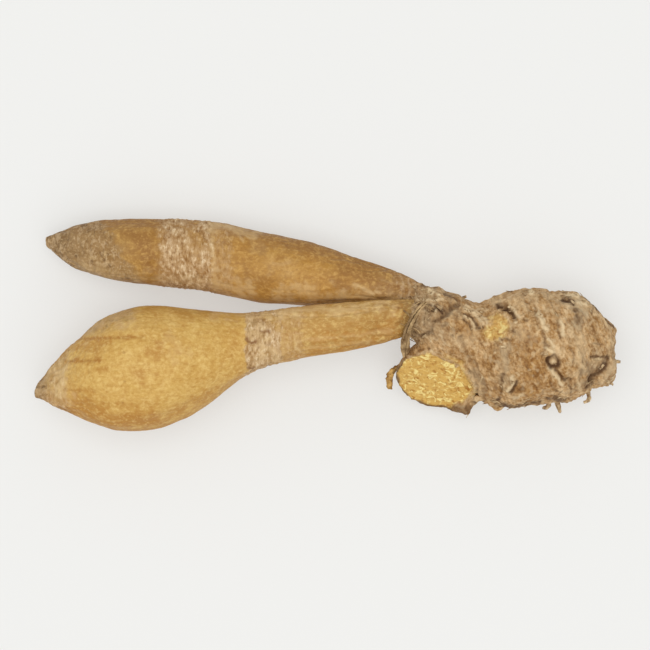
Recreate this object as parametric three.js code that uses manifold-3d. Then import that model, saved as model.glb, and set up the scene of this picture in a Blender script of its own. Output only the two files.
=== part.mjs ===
// A fingerroot: a short ringed rhizome that carries two fleshy storage roots, dried rootlets and a torn
// flake of skin. Millimetres, +Z up, lying as it rests on a table. +X runs from the tips of the storage
// roots to the blunt end of the rhizome. The origin is the middle of its footprint, on the table.
import * as THREE from "three";
import { mergeVertices } from "three/addons/utils/BufferGeometryUtils.js";
import Module from "manifold-3d";

const wasm = await Module();
wasm.setup();

// ---- Driving dimensions -------------------------------------------------------------------------
const SEAT_GAP = 0.3; // left between pieces that grew against each other
const BLOCK_SIZE = 200; // a block larger than the whole root, which cuts it off at a plane
const WELD = 1e-4; // corners nearer than this are one
const END_SHARE = 1e-6; // a corner this near to the start or end of a line is on its end cap

// Stations along a grown piece: [x, y, z, width, height]. Height is width where it is left out.
const BULB_FINGER = [
  [-46.8, -10.4, 8.0, 3.0],
  [-43.6, -9.5, 8.8, 6.8],
  [-38.8, -8.3, 9.5, 13.2],
  [-34.4, -7.6, 9.7, 18.6],
  [-29.8, -7.0, 9.7, 20.0, 19.9],
  [-25.2, -6.5, 9.7, 19.1],
  [-20.2, -5.6, 9.7, 16.2],
  [-15.4, -4.1, 9.8, 12.0],
  [-11.2, -2.6, 10.0, 9.4],
  [-5.8, -1.5, 10.3, 8.6],
  [0.6, -0.6, 10.6, 8.2],
  [6.6, 0.2, 10.9, 7.4],
  [11.4, 0.9, 10.9, 6.2],
  [16.6, 1.8, 10.4, 4.6],
];
const SLIM_FINGER = [
  [-45.2, 13.3, 4.6, 1.6],
  [-42.6, 12.9, 4.8, 4.8],
  [-38.8, 12.4, 5.0, 8.0],
  [-33.6, 12.1, 5.2, 9.8],
  [-26.8, 11.8, 5.4, 10.8, 10.9],
  [-18.8, 11.0, 5.6, 11.3, 11.5],
  [-10.8, 9.4, 5.6, 11.6, 11.5],
  [-2.8, 8.1, 5.6, 10.6],
  [4.4, 6.7, 5.9, 8.0],
  [9.6, 5.8, 6.2, 5.6],
  [14.4, 4.7, 6.7, 4.0],
  [18.2, 3.0, 7.4, 3.0],
];
const BARREL = [
  [20.8, -3.4, 8.8, 8.0],
  [23.4, -3.5, 8.9, 12.2],
  [26.0, -3.8, 9.0, 15.6],
  [28.6, -3.8, 9.2, 17.8],
  [31.4, -3.5, 9.3, 18.6, 18.9],
  [34.6, -3.2, 9.2, 18.2, 18.6],
  [37.6, -3.1, 9.1, 17.4, 17.9],
  [40.4, -3.1, 8.9, 16.2],
  [42.8, -3.5, 8.7, 13.4],
  [44.7, -4.2, 8.6, 11.0],
  [45.7, -4.5, 8.6, 9.0],
  [46.2, -4.5, 8.6, 7.0],
];
const SIDE_SHOOT = [
  [25.0, -3.0, 6.4, 11.6],
  [21.6, -5.8, 6.8, 12.4],
  [18.0, -9.0, 8.2, 12.3],
  [14.8, -13.2, 10.0, 12.0],
];
const NECK = [
  [12.6, 0.4, 9.8, 6.8, 7.0],
  [14.6, 0.5, 9.4, 10.2, 10.6],
  [18.4, -0.4, 9.0, 11.8, 13.0],
  [22.6, -1.6, 8.8, 11.0, 13.8],
  [26.0, -2.2, 8.8, 9.2, 13.0],
];
const SPUR = [
  [13.8, 5.0, 8.2, 3.6],
  [17.0, 4.0, 10.6, 4.0],
  [20.0, 3.2, 12.0, 3.0],
  [22.4, 2.8, 12.4, 1.6],
];
const SPUR_POINT = [
  [26.4, -11.4, 7.6, 5.0],
  [27.6, -13.0, 7.6, 2.8],
  [28.2, -14.1, 7.6, 1.0],
];
const END_TOOTH = [
  [45.0, -0.9, 8.8, 2.4],
  [46.3, -0.7, 8.8, 1.4],
  [46.9, -0.6, 8.8, 0.6],
];
const UNDER_STUB = [
  [23.0, -10.0, 4.6, 4.4],
  [21.8, -12.6, 4.2, 3.6],
  [21.4, -14.4, 4.0, 2.8],
];

// Ring ridges left by old leaves: how far along the barrel each one crosses it, and its height.
const RINGS = [
  { at: 25.2, height: 0.35 },
  { at: 30.4, height: 0.3 },
  { at: 34.8, height: 0.5 },
  { at: 38.6, height: 0.45 },
  { at: 42.4, height: 0.4 },
];
const RING_HALF_WIDTH = 0.7;
const RING_SLANT = -0.45; // a ring crosses the barrel askew: x gained per y
const RING_MIDDLE = -3.5; // the y where a ring is at its own place along the barrel

// Flat places: a point on each and the direction it faces.
const CUT_FACE = { point: [17.7, -9.0, 8.2], facing: [-0.2, -0.72, 0.67] };
const BLUNT_FACET = { point: [43.4, -8.6, 14.2], facing: [0.55, -0.42, 0.72] };

// Hollow scars where a bud or a root broke away: the middle of each hollow, and its half widths.
const SCARS = [
  { name: "bud scar", centre: [28.0, -0.2, 18.9], size: [1.5, 2.1, 1.3] },
  { name: "root scar", centre: [36.7, -6.0, 18.4], size: [0.8, 0.8, 0.9] },
  { name: "dark scar", centre: [40.0, 2.0, 16.6], size: [1.2, 1.5, 0.8] },
  { name: "hidden root scar", centre: [33.0, 5.6, 5.6], size: [1.2, 0.8, 1.2] },
];

// Dried rootlets: [x, y, z, width] along each, from inside the skin to the broken end.
const ROOTLETS = {
  rootlet_lower_hook: [
    [35.2, -10.6, 6.4, 0.9],
    [35.9, -12.2, 6.3, 0.8],
    [35.9, -13.0, 6.4, 0.6],
    [35.0, -13.4, 6.6, 0.5],
  ],
  rootlet_lower_stub: [
    [37.0, -10.0, 6.9, 1.1],
    [37.3, -11.8, 6.7, 1.0],
    [37.5, -13.0, 6.7, 0.9],
    [37.9, -14.0, 6.9, 0.6],
  ],
  rootlet_lower_curl: [
    [40.8, -8.8, 7.2, 0.8],
    [41.9, -10.6, 7.2, 0.7],
    [42.5, -11.6, 7.4, 0.6],
    [41.6, -12.4, 7.7, 0.5],
  ],
  rootlet_end_upper: [
    [44.4, -5.6, 9.6, 0.9],
    [46.0, -5.9, 9.8, 0.7],
    [46.9, -6.3, 9.9, 0.5],
  ],
  rootlet_end_lower: [
    [43.4, -7.5, 6.8, 0.9],
    [45.2, -8.9, 6.7, 0.8],
    [46.4, -9.6, 6.9, 0.5],
  ],
  rootlet_under_shoot: [
    [24.6, -8.6, 2.6, 1.0],
    [25.4, -11.2, 2.0, 0.9],
    [27.2, -12.6, 1.6, 0.7],
    [29.2, -13.0, 1.4, 0.5],
  ],
  rootlet_far_side: [
    [29.6, 1.6, 3.4, 1.0],
    [30.6, 4.2, 2.4, 0.9],
    [32.8, 5.2, 1.6, 0.7],
    [35.4, 4.4, 1.2, 0.5],
  ],
  rootlet_collar: [
    [16.0, 3.6, 13.6, 1.0],
    [13.2, 1.8, 15.1, 1.0],
    [12.0, -1.2, 14.2, 0.9],
    [12.0, -4.0, 11.6, 0.8],
    [13.1, -6.2, 9.7, 0.7],
  ],
  rootlet_neck_tip: [
    [20.4, 2.4, 7.4, 0.9],
    [21.4, 3.9, 6.5, 0.8],
    [22.7, 4.6, 6.0, 0.5],
  ],
};
const FLAKE = [
  [13.4, -6.2, 6.5, 1.2, 0.7],
  [11.5, -6.8, 6.8, 1.0, 0.6],
  [10.5, -8.2, 6.9, 1.4, 0.6],
  [10.3, -9.9, 7.4, 0.9, 0.5],
];

// How finely each kind of piece is divided: [sides round it, steps along it].
const FINE = { finger: [24, 34], barrel: [30, 30], lump: [18, 9], rootlet: [6, 8], scar: [14, 9] };

// ---- Materials ----------------------------------------------------------------------------------
const fingerSkin = new THREE.MeshStandardMaterial({ color: 0xc39a52, roughness: 0.62, metalness: 0 });
const slimSkin = new THREE.MeshStandardMaterial({ color: 0xb58a4c, roughness: 0.65, metalness: 0 });
const rhizomeSkin = new THREE.MeshStandardMaterial({ color: 0xa98a62, roughness: 0.85, metalness: 0 });
const driedRoot = new THREE.MeshStandardMaterial({ color: 0x9a7b50, roughness: 0.9, metalness: 0 });
const drySkin = new THREE.MeshStandardMaterial({ color: 0xb58a45, roughness: 0.8, metalness: 0 });

// ---- Growing a piece along its stations ---------------------------------------------------------
const UP = new THREE.Vector3(0, 0, 1);

// The stations as one smooth line and one smooth girth, both read by the same share from 0 to 1.
function lineOf(stations) {
  const places = stations.map(([x, y, z]) => new THREE.Vector3(x, y, z));
  const halves = stations.map(([, , , w, h = w]) => new THREE.Vector3(w / 2, h / 2, 0));
  return {
    line: new THREE.CatmullRomCurve3(places, false, "catmullrom"),
    girth: new THREE.CatmullRomCurve3(halves, false, "catmullrom"),
  };
}

// A closed round body along the stations. swell makes it larger all round and at both ends, and
// relief(point) gives a ridge's height there.
function grow(stations, [sides, steps], { swell = 0, relief = () => 0 } = {}) {
  const { line, girth } = lineOf(stations);
  const geometry = new THREE.CylinderGeometry(1, 1, 1, sides, steps);
  const position = geometry.getAttribute("position");
  const corner = new THREE.Vector3();
  for (let i = 0; i < position.count; i++) {
    corner.fromBufferAttribute(position, i);
    const share = THREE.MathUtils.clamp(corner.y + 0.5, 0, 1);
    const centre = line.getPoint(share);
    const along = line.getTangent(share);
    const side = new THREE.Vector3().crossVectors(UP, along).normalize();
    const rise = new THREE.Vector3().crossVectors(along, side);
    const half = girth.getPoint(share);
    const ridge = relief(centre.clone().addScaledVector(side, corner.x * half.x)) + swell;
    centre.addScaledVector(side, corner.x * (half.x + ridge));
    centre.addScaledVector(rise, corner.z * (half.y + ridge));
    if (share < END_SHARE) centre.addScaledVector(along, -swell);
    if (share > 1 - END_SHARE) centre.addScaledVector(along, swell);
    position.setXYZ(i, centre.x, centre.y, centre.z);
  }
  return geometry;
}

function ringRelief(point) {
  return RINGS.reduce((sum, ring) => {
    const off = (point.x - ring.at - RING_SLANT * (point.y - RING_MIDDLE)) / RING_HALF_WIDTH;
    return sum + ring.height * Math.exp(-off * off);
  }, 0);
}

// ---- Joining and cutting ------------------------------------------------------------------------
function solidOf(geometry) {
  const bare = geometry.clone();
  bare.deleteAttribute("normal");
  bare.deleteAttribute("uv");
  const merged = mergeVertices(bare, WELD);
  const vertProperties = new Float32Array(merged.getAttribute("position").array);
  const triVerts = new Uint32Array(merged.index.array);
  const made = new wasm.Manifold(new wasm.Mesh({ numProp: 3, vertProperties, triVerts }));
  if (made.volume() > 0) return made;
  for (let i = 0; i < triVerts.length; i += 3) {
    [triVerts[i + 1], triVerts[i + 2]] = [triVerts[i + 2], triVerts[i + 1]];
  }
  return new wasm.Manifold(new wasm.Mesh({ numProp: 3, vertProperties, triVerts }));
}

function geometryOf(solid) {
  const mesh = solid.getMesh();
  const corners = new Float32Array(mesh.numVert * 3);
  for (let i = 0; i < mesh.numVert; i++) {
    corners.set(mesh.vertProperties.subarray(i * mesh.numProp, i * mesh.numProp + 3), i * 3);
  }
  return new THREE.BufferGeometry()
    .setAttribute("position", new THREE.BufferAttribute(corners, 3))
    .setIndex(new THREE.BufferAttribute(mesh.triVerts, 1));
}

// The block on the outer side of a flat place.
function beyond({ point, facing }) {
  const direction = new THREE.Vector3(...facing).normalize();
  const block = new THREE.BoxGeometry(BLOCK_SIZE, BLOCK_SIZE, BLOCK_SIZE);
  block.translate(0, 0, BLOCK_SIZE / 2);
  block.applyQuaternion(new THREE.Quaternion().setFromUnitVectors(UP, direction));
  block.translate(...point);
  return solidOf(block);
}

function hollow({ centre, size }) {
  const ball = new THREE.SphereGeometry(1, ...FINE.scar);
  ball.scale(...size);
  ball.translate(...centre);
  return solidOf(ball);
}

// ---- The pieces ---------------------------------------------------------------------------------
const table = beyond({ point: [0, 0, 0], facing: [0, 0, -1] });
const fingerBody = (stations, swell) => solidOf(grow(stations, FINE.finger, { swell }));
const rootletBody = (stations, swell) => solidOf(grow(stations, FINE.rootlet, { swell }));

const bulbFinger = fingerBody(BULB_FINGER).subtract(table);
// Where the two storage roots grew against each other the slim one is dented.
const slimFinger = fingerBody(SLIM_FINGER).subtract(fingerBody(BULB_FINGER, SEAT_GAP)).subtract(table);

function rhizomeBody() {
  const shoot = solidOf(grow(SIDE_SHOOT, FINE.lump)).subtract(beyond(CUT_FACE));
  const lumps = [NECK, SPUR, SPUR_POINT, END_TOOTH, UNDER_STUB].map((stations) => solidOf(grow(stations, FINE.lump)));
  const barrel = solidOf(grow(BARREL, FINE.barrel, { relief: ringRelief }));
  const whole = lumps.reduce((body, lump) => body.add(lump), barrel.add(shoot));
  const faceted = whole.subtract(beyond(BLUNT_FACET));
  const scarred = SCARS.reduce((body, scar) => body.subtract(hollow(scar)), faceted);
  const sockets = [fingerBody(BULB_FINGER, SEAT_GAP), fingerBody(SLIM_FINGER, SEAT_GAP)].concat(
    [...Object.values(ROOTLETS), FLAKE].map((stations) => rootletBody(stations, SEAT_GAP)),
  );
  return sockets.reduce((body, socket) => body.subtract(socket), scarred).subtract(table);
}

function pieceMesh(name, solid, material) {
  const mesh = new THREE.Mesh(geometryOf(solid), material);
  mesh.name = name;
  return mesh;
}

const fingerroot = new THREE.Group();
fingerroot.add(pieceMesh("rhizome", rhizomeBody(), rhizomeSkin));
fingerroot.add(pieceMesh("bulb_finger", bulbFinger, fingerSkin));
fingerroot.add(pieceMesh("slim_finger", slimFinger, slimSkin));
fingerroot.add(pieceMesh("skin_flake", rootletBody(FLAKE), drySkin));
for (const [name, stations] of Object.entries(ROOTLETS)) {
  fingerroot.add(pieceMesh(name, rootletBody(stations), driedRoot));
}

export default fingerroot;
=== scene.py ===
# %% [markdown]
# # A fingerroot in Blender
#
# A fingerroot is a small relative of ginger. A short, knobbly rhizome, ringed where its old leaves sat,
# carries fleshy storage roots like the fingers of a hand. This lesson builds one rhizome with two of its
# fingers round a imported frame, which already fixes the size and place of every piece.
#
# The frame is loaded first.

# %% Load the frame
import math
import random

import bpy
import numpy as np
from mathutils import Matrix, Vector, noise


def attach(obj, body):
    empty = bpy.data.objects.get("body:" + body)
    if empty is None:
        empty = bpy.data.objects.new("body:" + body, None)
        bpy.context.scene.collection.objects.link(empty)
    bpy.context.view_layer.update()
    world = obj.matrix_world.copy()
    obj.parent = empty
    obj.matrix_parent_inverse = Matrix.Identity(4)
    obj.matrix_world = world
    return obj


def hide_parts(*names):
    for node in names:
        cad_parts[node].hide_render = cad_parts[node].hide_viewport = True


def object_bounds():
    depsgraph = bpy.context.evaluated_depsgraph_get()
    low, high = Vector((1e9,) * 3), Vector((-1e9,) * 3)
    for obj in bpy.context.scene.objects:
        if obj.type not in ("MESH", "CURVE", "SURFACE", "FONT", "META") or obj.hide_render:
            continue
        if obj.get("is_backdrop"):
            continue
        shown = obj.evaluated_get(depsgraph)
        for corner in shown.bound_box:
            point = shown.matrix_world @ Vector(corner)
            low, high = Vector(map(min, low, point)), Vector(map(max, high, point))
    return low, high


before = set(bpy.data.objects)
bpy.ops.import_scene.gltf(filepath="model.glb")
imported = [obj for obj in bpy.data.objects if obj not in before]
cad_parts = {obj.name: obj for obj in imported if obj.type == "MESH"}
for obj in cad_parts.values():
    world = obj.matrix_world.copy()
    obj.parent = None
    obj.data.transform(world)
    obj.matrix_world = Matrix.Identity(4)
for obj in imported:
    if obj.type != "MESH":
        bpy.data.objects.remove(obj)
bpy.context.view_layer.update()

MM = 0.001
print("frame nodes:", sorted(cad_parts))

# %% [markdown]
# ## The camera
#
# A root that lies on a table shows its whole shape from straight above. A short lens would make the thick
# belly of a finger bulge towards the eye, so a long lens looks down from almost 0.6 m.

# %% Camera
VIEW_WIDTH = 104 * MM
LENS = 200.0
SENSOR = 36.0
EYE_LEVEL = 9 * MM  # the height at which the view is exactly as wide as VIEW_WIDTH

bpy.ops.object.camera_add(location=(0, 0, EYE_LEVEL + VIEW_WIDTH * LENS / SENSOR), rotation=(0, 0, 0))
camera = bpy.context.object
camera.data.lens = LENS
camera.data.sensor_width = SENSOR
camera.data.clip_start = 0.01
bpy.context.scene.camera = camera
print("camera height, mm:", round(camera.location.z / MM))

# %% [markdown]
# ## Table and light
#
# The floor is plain and pale. Most of the light comes from a bright sky, so that shadows stay faint and the
# skin shows its own colour right up to the rim. The floor glows a little for the same reason. A large soft
# lamp on the upper left and a weaker one opposite give the relief some shape. The standard view transform
# shows pale colours as they are, which a filmic one would grey.

# %% Table and light
FLOOR_SIZE = 3.0
FLOOR_TONE = (0.40, 0.40, 0.39, 1)
FLOOR_GLOW = 0.43
SKY_STRENGTH = 0.66

bpy.ops.object.select_all(action="DESELECT")
bpy.ops.mesh.primitive_plane_add(size=FLOOR_SIZE, location=(0, 0, 0))
floor = bpy.context.object
floor.name = "table"
floor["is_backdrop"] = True

floor_finish = bpy.data.materials.new("pale_table")
floor_finish.use_nodes = True
floor_shader = floor_finish.node_tree.nodes["Principled BSDF"]
floor_shader.inputs["Base Color"].default_value = FLOOR_TONE
floor_shader.inputs["Emission Color"].default_value = (1.0, 1.0, 0.98, 1)
floor_shader.inputs["Emission Strength"].default_value = FLOOR_GLOW
floor_shader.inputs["Roughness"].default_value = 0.9
floor.data.materials.append(floor_finish)


def soft_lamp(name, place, size, power):
    """A square lamp that faces the middle of the table."""
    bpy.ops.object.light_add(type="AREA", location=place)
    lamp = bpy.context.object
    lamp.name = name
    lamp.rotation_euler = (-Vector(place)).to_track_quat("-Z", "Y").to_euler()
    lamp.data.size = size
    lamp.data.energy = power


soft_lamp("key_lamp", (-0.12, 0.02, 1.2), 1.0, 6.0)
soft_lamp("fill_lamp", (0.3, -0.5, 1.0), 0.9, 2.0)

sky = bpy.data.worlds.new("pale_sky")
sky.use_nodes = True
sky.node_tree.nodes["Background"].inputs["Color"].default_value = (1.0, 1.0, 1.0, 1)
sky.node_tree.nodes["Background"].inputs["Strength"].default_value = SKY_STRENGTH
bpy.context.scene.world = sky
bpy.context.scene.view_settings.view_transform = "Standard"

# %% [markdown]
# ## How a root grows
#
# A finger, a shoot and the rhizome itself are all round bodies whose girth changes along a line. Each could
# be a stretched sphere, but then its girth could only swell once. Here a disc is laid at the start of the
# line, and is pushed out and resized ring by ring, as a potter pulls up a wall. The line and the girth are
# read from a few stations with a smooth curve through them.

# %% Grow a round body along stations
def deselect():
    if bpy.context.object and bpy.context.object.mode != "OBJECT":
        bpy.ops.object.mode_set(mode="OBJECT")
    bpy.ops.object.select_all(action="DESELECT")


def station_at(stations, share):
    """The [x, y, z, girth] at a share from 0 to 1 of the way, on a smooth curve through the stations."""
    rows = np.array(stations, float)
    place = share * (len(rows) - 1)
    i = min(int(place), len(rows) - 2)
    t = place - i
    before, here, after, later = (rows[min(max(k, 0), len(rows) - 1)] for k in range(i - 1, i + 3))
    bend = (2 * before - 5 * here + 4 * after - later) * t + (3 * here - before - 3 * after + later) * t * t
    return here + 0.5 * t * (after - before + bend)


def grow(name, stations, rings, sides, facing=(1, 0, 0), oval=1.0):
    """A closed body round the stations, in millimetres. Its rings all face one way, and oval is their
    height over their width."""
    deselect()
    path = [station_at(stations, i / rings) for i in range(rings + 1)]
    x, y, z, girth = path[0]
    start = Vector((x, y, z)) * MM
    turn = Vector(facing).to_track_quat("Z", "Y").to_euler()
    bpy.ops.mesh.primitive_circle_add(vertices=sides, radius=girth / 2 * MM, fill_type="NGON",
                                      location=(0, 0, 0), enter_editmode=True)
    bpy.ops.transform.resize(value=(1, oval, 1), center_override=(0, 0, 0))
    bpy.ops.object.mode_set(mode="OBJECT")
    piece = bpy.context.object
    piece.name = name
    piece.location = start
    piece.rotation_euler = turn
    bpy.ops.object.transform_apply(location=True, rotation=True, scale=True)
    bpy.ops.object.mode_set(mode="EDIT")
    bpy.ops.mesh.select_all(action="SELECT")
    for before, after in zip(path, path[1:]):
        step = Vector(after[:3] - before[:3]) * MM
        ratio = after[3] / before[3]
        bpy.ops.mesh.extrude_region_move(TRANSFORM_OT_translate={"value": step})
        bpy.ops.transform.resize(value=(ratio, ratio, ratio), center_override=Vector(after[:3]) * MM)
    bpy.ops.mesh.select_all(action="SELECT")
    bpy.ops.mesh.normals_make_consistent(inside=False)
    bpy.ops.object.mode_set(mode="OBJECT")
    return piece


def apply_modifier(piece, kind, **settings):
    """Adds a modifier and applies it at once."""
    modifier = piece.modifiers.new(kind.title(), kind)
    for name, value in settings.items():
        setattr(modifier, name, value)
    deselect()
    piece.select_set(True)
    bpy.context.view_layer.objects.active = piece
    bpy.ops.object.modifier_apply(modifier=modifier.name)


def subdivide(piece, levels):
    apply_modifier(piece, "SUBSURF", levels=levels, render_levels=levels)


def join(name, pieces):
    """Joins pieces into one, under a new name."""
    deselect()
    for piece in pieces:
        piece.select_set(True)
    bpy.context.view_layer.objects.active = pieces[0]
    bpy.ops.object.join()
    pieces[0].name = name
    return pieces[0]


print("growing tools ready")

# %% [markdown]
# ## Sculpting by rule
#
# Skin relief is far too fine to push by hand. It could be a bump map only, but then the outline would stay
# smooth. So each corner of a finely divided mesh is moved along its normal, by heights that are worked out
# from its place: soft lumps, folds, strokes and pits. A stroke also leaves a painted mask behind, which the
# finish later reads, so that worn crests turn pale and cracks turn dark exactly where the relief is.

# %% Sculpting tools
TABLE_CLEARANCE = 0.02  # the least height of any corner, in millimetres


def rows_of(source, field):
    """A field of three numbers for each corner, as rows."""
    values = np.empty(len(source) * 3, np.float32)
    source.foreach_get(field, values)
    return values.reshape(-1, 3).astype(float)


def corners_of(piece):
    """Every corner's place in millimetres, and its outward normal."""
    return rows_of(piece.data.vertices, "co") / MM, rows_of(piece.data.vertex_normals, "vector")


def move_corners(piece, places):
    """Sets every corner's place, in millimetres, and keeps it above the table."""
    kept = places.copy()
    kept[:, 2] = np.maximum(kept[:, 2], TABLE_CLEARANCE)
    piece.data.vertices.foreach_set("co", (kept * MM).astype(np.float32).ravel())
    piece.data.update()


def paint(piece, name, values):
    """Stores one number for each corner, from 0 to 1, for a finish to read."""
    layer = piece.data.attributes.new(name, "FLOAT", "POINT")
    layer.data.foreach_set("value", np.clip(values, 0, 1).astype(np.float32))


def lumps(places, size, seed=0.0):
    """Soft lumps about size millimetres across, from -1 to 1. size may differ along x, y and z."""
    scaled = (places / np.array(size) + seed).tolist()
    return np.array([noise.noise(p) for p in scaled]) * 2


def folds(places, size, seed=0.0):
    """Narrow valleys between broad backs, from 0 in a valley to 1."""
    return np.minimum(np.abs(lumps(places, size, seed)) * 2.2, 1)


def pits(places, spacing, radius, seed=0.0):
    """1 in the middle of each scattered pit, falling to 0 at its radius, both in millimetres."""
    scaled = (places / spacing + seed).tolist()
    nearest = np.array([noise.voronoi(p)[0][0] for p in scaled]) * spacing
    return np.clip(1 - nearest / radius, 0, 1)


def bell(distance, width):
    return np.exp(-((distance / width) ** 2))


def step_up(value, low, high):
    """0 below low, 1 above high and smooth between."""
    t = np.clip((value - low) / (high - low), 0, 1)
    return t * t * (3 - 2 * t)


def distance_to_line(points, line):
    """How far each point lies from a line of corners in plan. A line of one corner is a spot."""
    ends = np.array(line * 2 if len(line) == 1 else line, float)
    nearest = np.full(len(points), 1e9)
    for a, b in zip(ends[:-1], ends[1:]):
        run = b - a
        share = np.clip((points - a) @ run / max(run @ run, 1e-9), 0, 1)
        nearest = np.minimum(nearest, np.linalg.norm(points - a - share[:, None] * run, axis=1))
    return nearest


print("sculpting tools ready")

# %% [markdown]
# Marks come in two kinds. A mark is a stroke in plan, in millimetres: its line, its width, how far it
# raises or sinks the skin, and its tone, from -1 for dark to 1 for worn pale. A few dark marks are painted
# shadow, and a few pale ones painted light. A patch only colours: its line, its width and its strength. Both
# act on the upper side alone, and noise bends and breaks them, so that none looks drawn.

# %% Marks and patches
def upper_side(normals):
    return step_up(normals[:, 2], -0.15, 0.2)


def add_marks(places, normals, marks):
    """The height, the pale mask and the dark mask that marks leave on the skin."""
    waver = np.stack([lumps(places, 1.3, 5.5), lumps(places, 1.3, 7.5)], axis=1) * 0.16
    waver += np.stack([lumps(places, 0.45, 6.5), lumps(places, 0.45, 8.5)], axis=1) * 0.07
    plan = places[:, :2] + waver
    worn = upper_side(normals) * np.clip(1.05 + 0.8 * lumps(places, 0.8, 16.5), 0.5, 1)
    height, pale, dark = np.zeros((3, len(places)))
    for line, width, rise, tone in marks:
        touch = bell(distance_to_line(plan, line), width) * worn
        height += rise * touch
        stain = np.minimum(touch * 1.4, 1) * abs(tone)
        if tone > 0:
            pale = np.maximum(pale, stain)
        else:
            dark = np.maximum(dark, stain)
    return height, pale, dark


def add_patches(places, normals, patches):
    """How strongly soft, blotchy patches cover the skin."""
    blotch = 0.9 * lumps(places, 1.5, 12.5) + 0.5 * lumps(places, 0.5, 14.5)
    cover = np.zeros(len(places))
    for line, width, strength in patches:
        away = np.maximum(distance_to_line(places[:, :2], line) + blotch * min(width, 1.2), 0)
        cover = np.maximum(cover, strength * bell(away, width))
    return cover * upper_side(normals)


def smooth_shaded(piece):
    deselect()
    piece.select_set(True)
    bpy.context.view_layer.objects.active = piece
    bpy.ops.object.shade_smooth()


print("marks and patches ready")

# %% [markdown]
# ## The two storage roots
#
# The thick finger swells like a bulb and then narrows to a long neck. The slim one is a plain spindle. Their
# stations follow the frame's closely. They stray from it by about a millimetre at most, where a finger enters
# the collar. Three rounds of subdivision give quads about 0.2 mm across, enough for folds and pores.

# %% Storage roots
BULB_STATIONS = [
    [-46.6, -10.6, 8.0, 2.2], [-45.2, -10.1, 8.3, 3.8], [-43.2, -9.5, 8.8, 7.4], [-38.8, -8.3, 9.5, 13.6],
    [-34.4, -7.6, 9.7, 18.6], [-29.8, -7.0, 9.8, 20.0], [-25.2, -6.5, 9.7, 19.2], [-20.2, -5.6, 9.7, 16.3],
    [-15.4, -4.1, 9.8, 12.2], [-11.2, -2.6, 10.0, 9.5], [-5.8, -1.5, 10.3, 8.7], [0.6, -0.6, 10.6, 8.1],
    [6.6, 0.2, 10.9, 7.4], [11.4, 0.9, 10.9, 6.4], [15.2, 1.6, 10.4, 4.8], [18.0, 2.0, 10.0, 3.4],
]
SLIM_STATIONS = [
    [-45.0, 13.4, 4.6, 1.4], [-44.0, 13.2, 4.7, 2.8], [-42.2, 12.9, 4.8, 5.2], [-38.8, 12.4, 5.0, 8.0],
    [-33.6, 12.1, 5.2, 9.9], [-26.8, 11.8, 5.4, 10.9], [-18.8, 11.0, 5.6, 11.5], [-10.8, 9.4, 5.7, 11.6],
    [-2.8, 8.1, 5.7, 10.6], [4.4, 6.9, 6.2, 8.2], [9.6, 6.0, 6.9, 6.2], [14.4, 4.9, 7.8, 4.7],
    [18.2, 3.2, 8.4, 3.2],
]
FINGER_RINGS = 46
FINGER_LEVELS = 3  # rounds of subdivision
bulb = grow("bulb_storage_root", BULB_STATIONS, FINGER_RINGS, sides=26)
slim = grow("slim_storage_root", SLIM_STATIONS, FINGER_RINGS, sides=22)
for finger in (bulb, slim):
    subdivide(finger, FINGER_LEVELS)
    print(finger.name, "faces:", len(finger.data.polygons))

# %% [markdown]
# ### Skin relief on the fingers
#
# A fresh storage root is taut and almost smooth. It has long shallow furrows that run with its length, a
# faint grain, small raised pores that lie across, and rough bands of scurf where its skin once split. Scurf
# lies in short dashes across the finger. Furrows come from lumps stretched along x, and scurf from lumps
# stretched across it.
#
# One side of each finger and its flanks are tinted brown as painted shade, where less light falls towards
# the rim. The painted shade of the flanks fades before the place where the two fingers lie side by side.

# %% Finger relief
DASH = (0.42, 1.3, 1.3)  # the size of a dash of scurf along and across the finger
BAND_END = 0.3  # how soft the second edge of a band is
CREASE_START = -3.0  # from this x on, the two fingers lie side by side
CREASE_FADE = 6  # how far before it the painted shade of the flanks begins to fade


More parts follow.
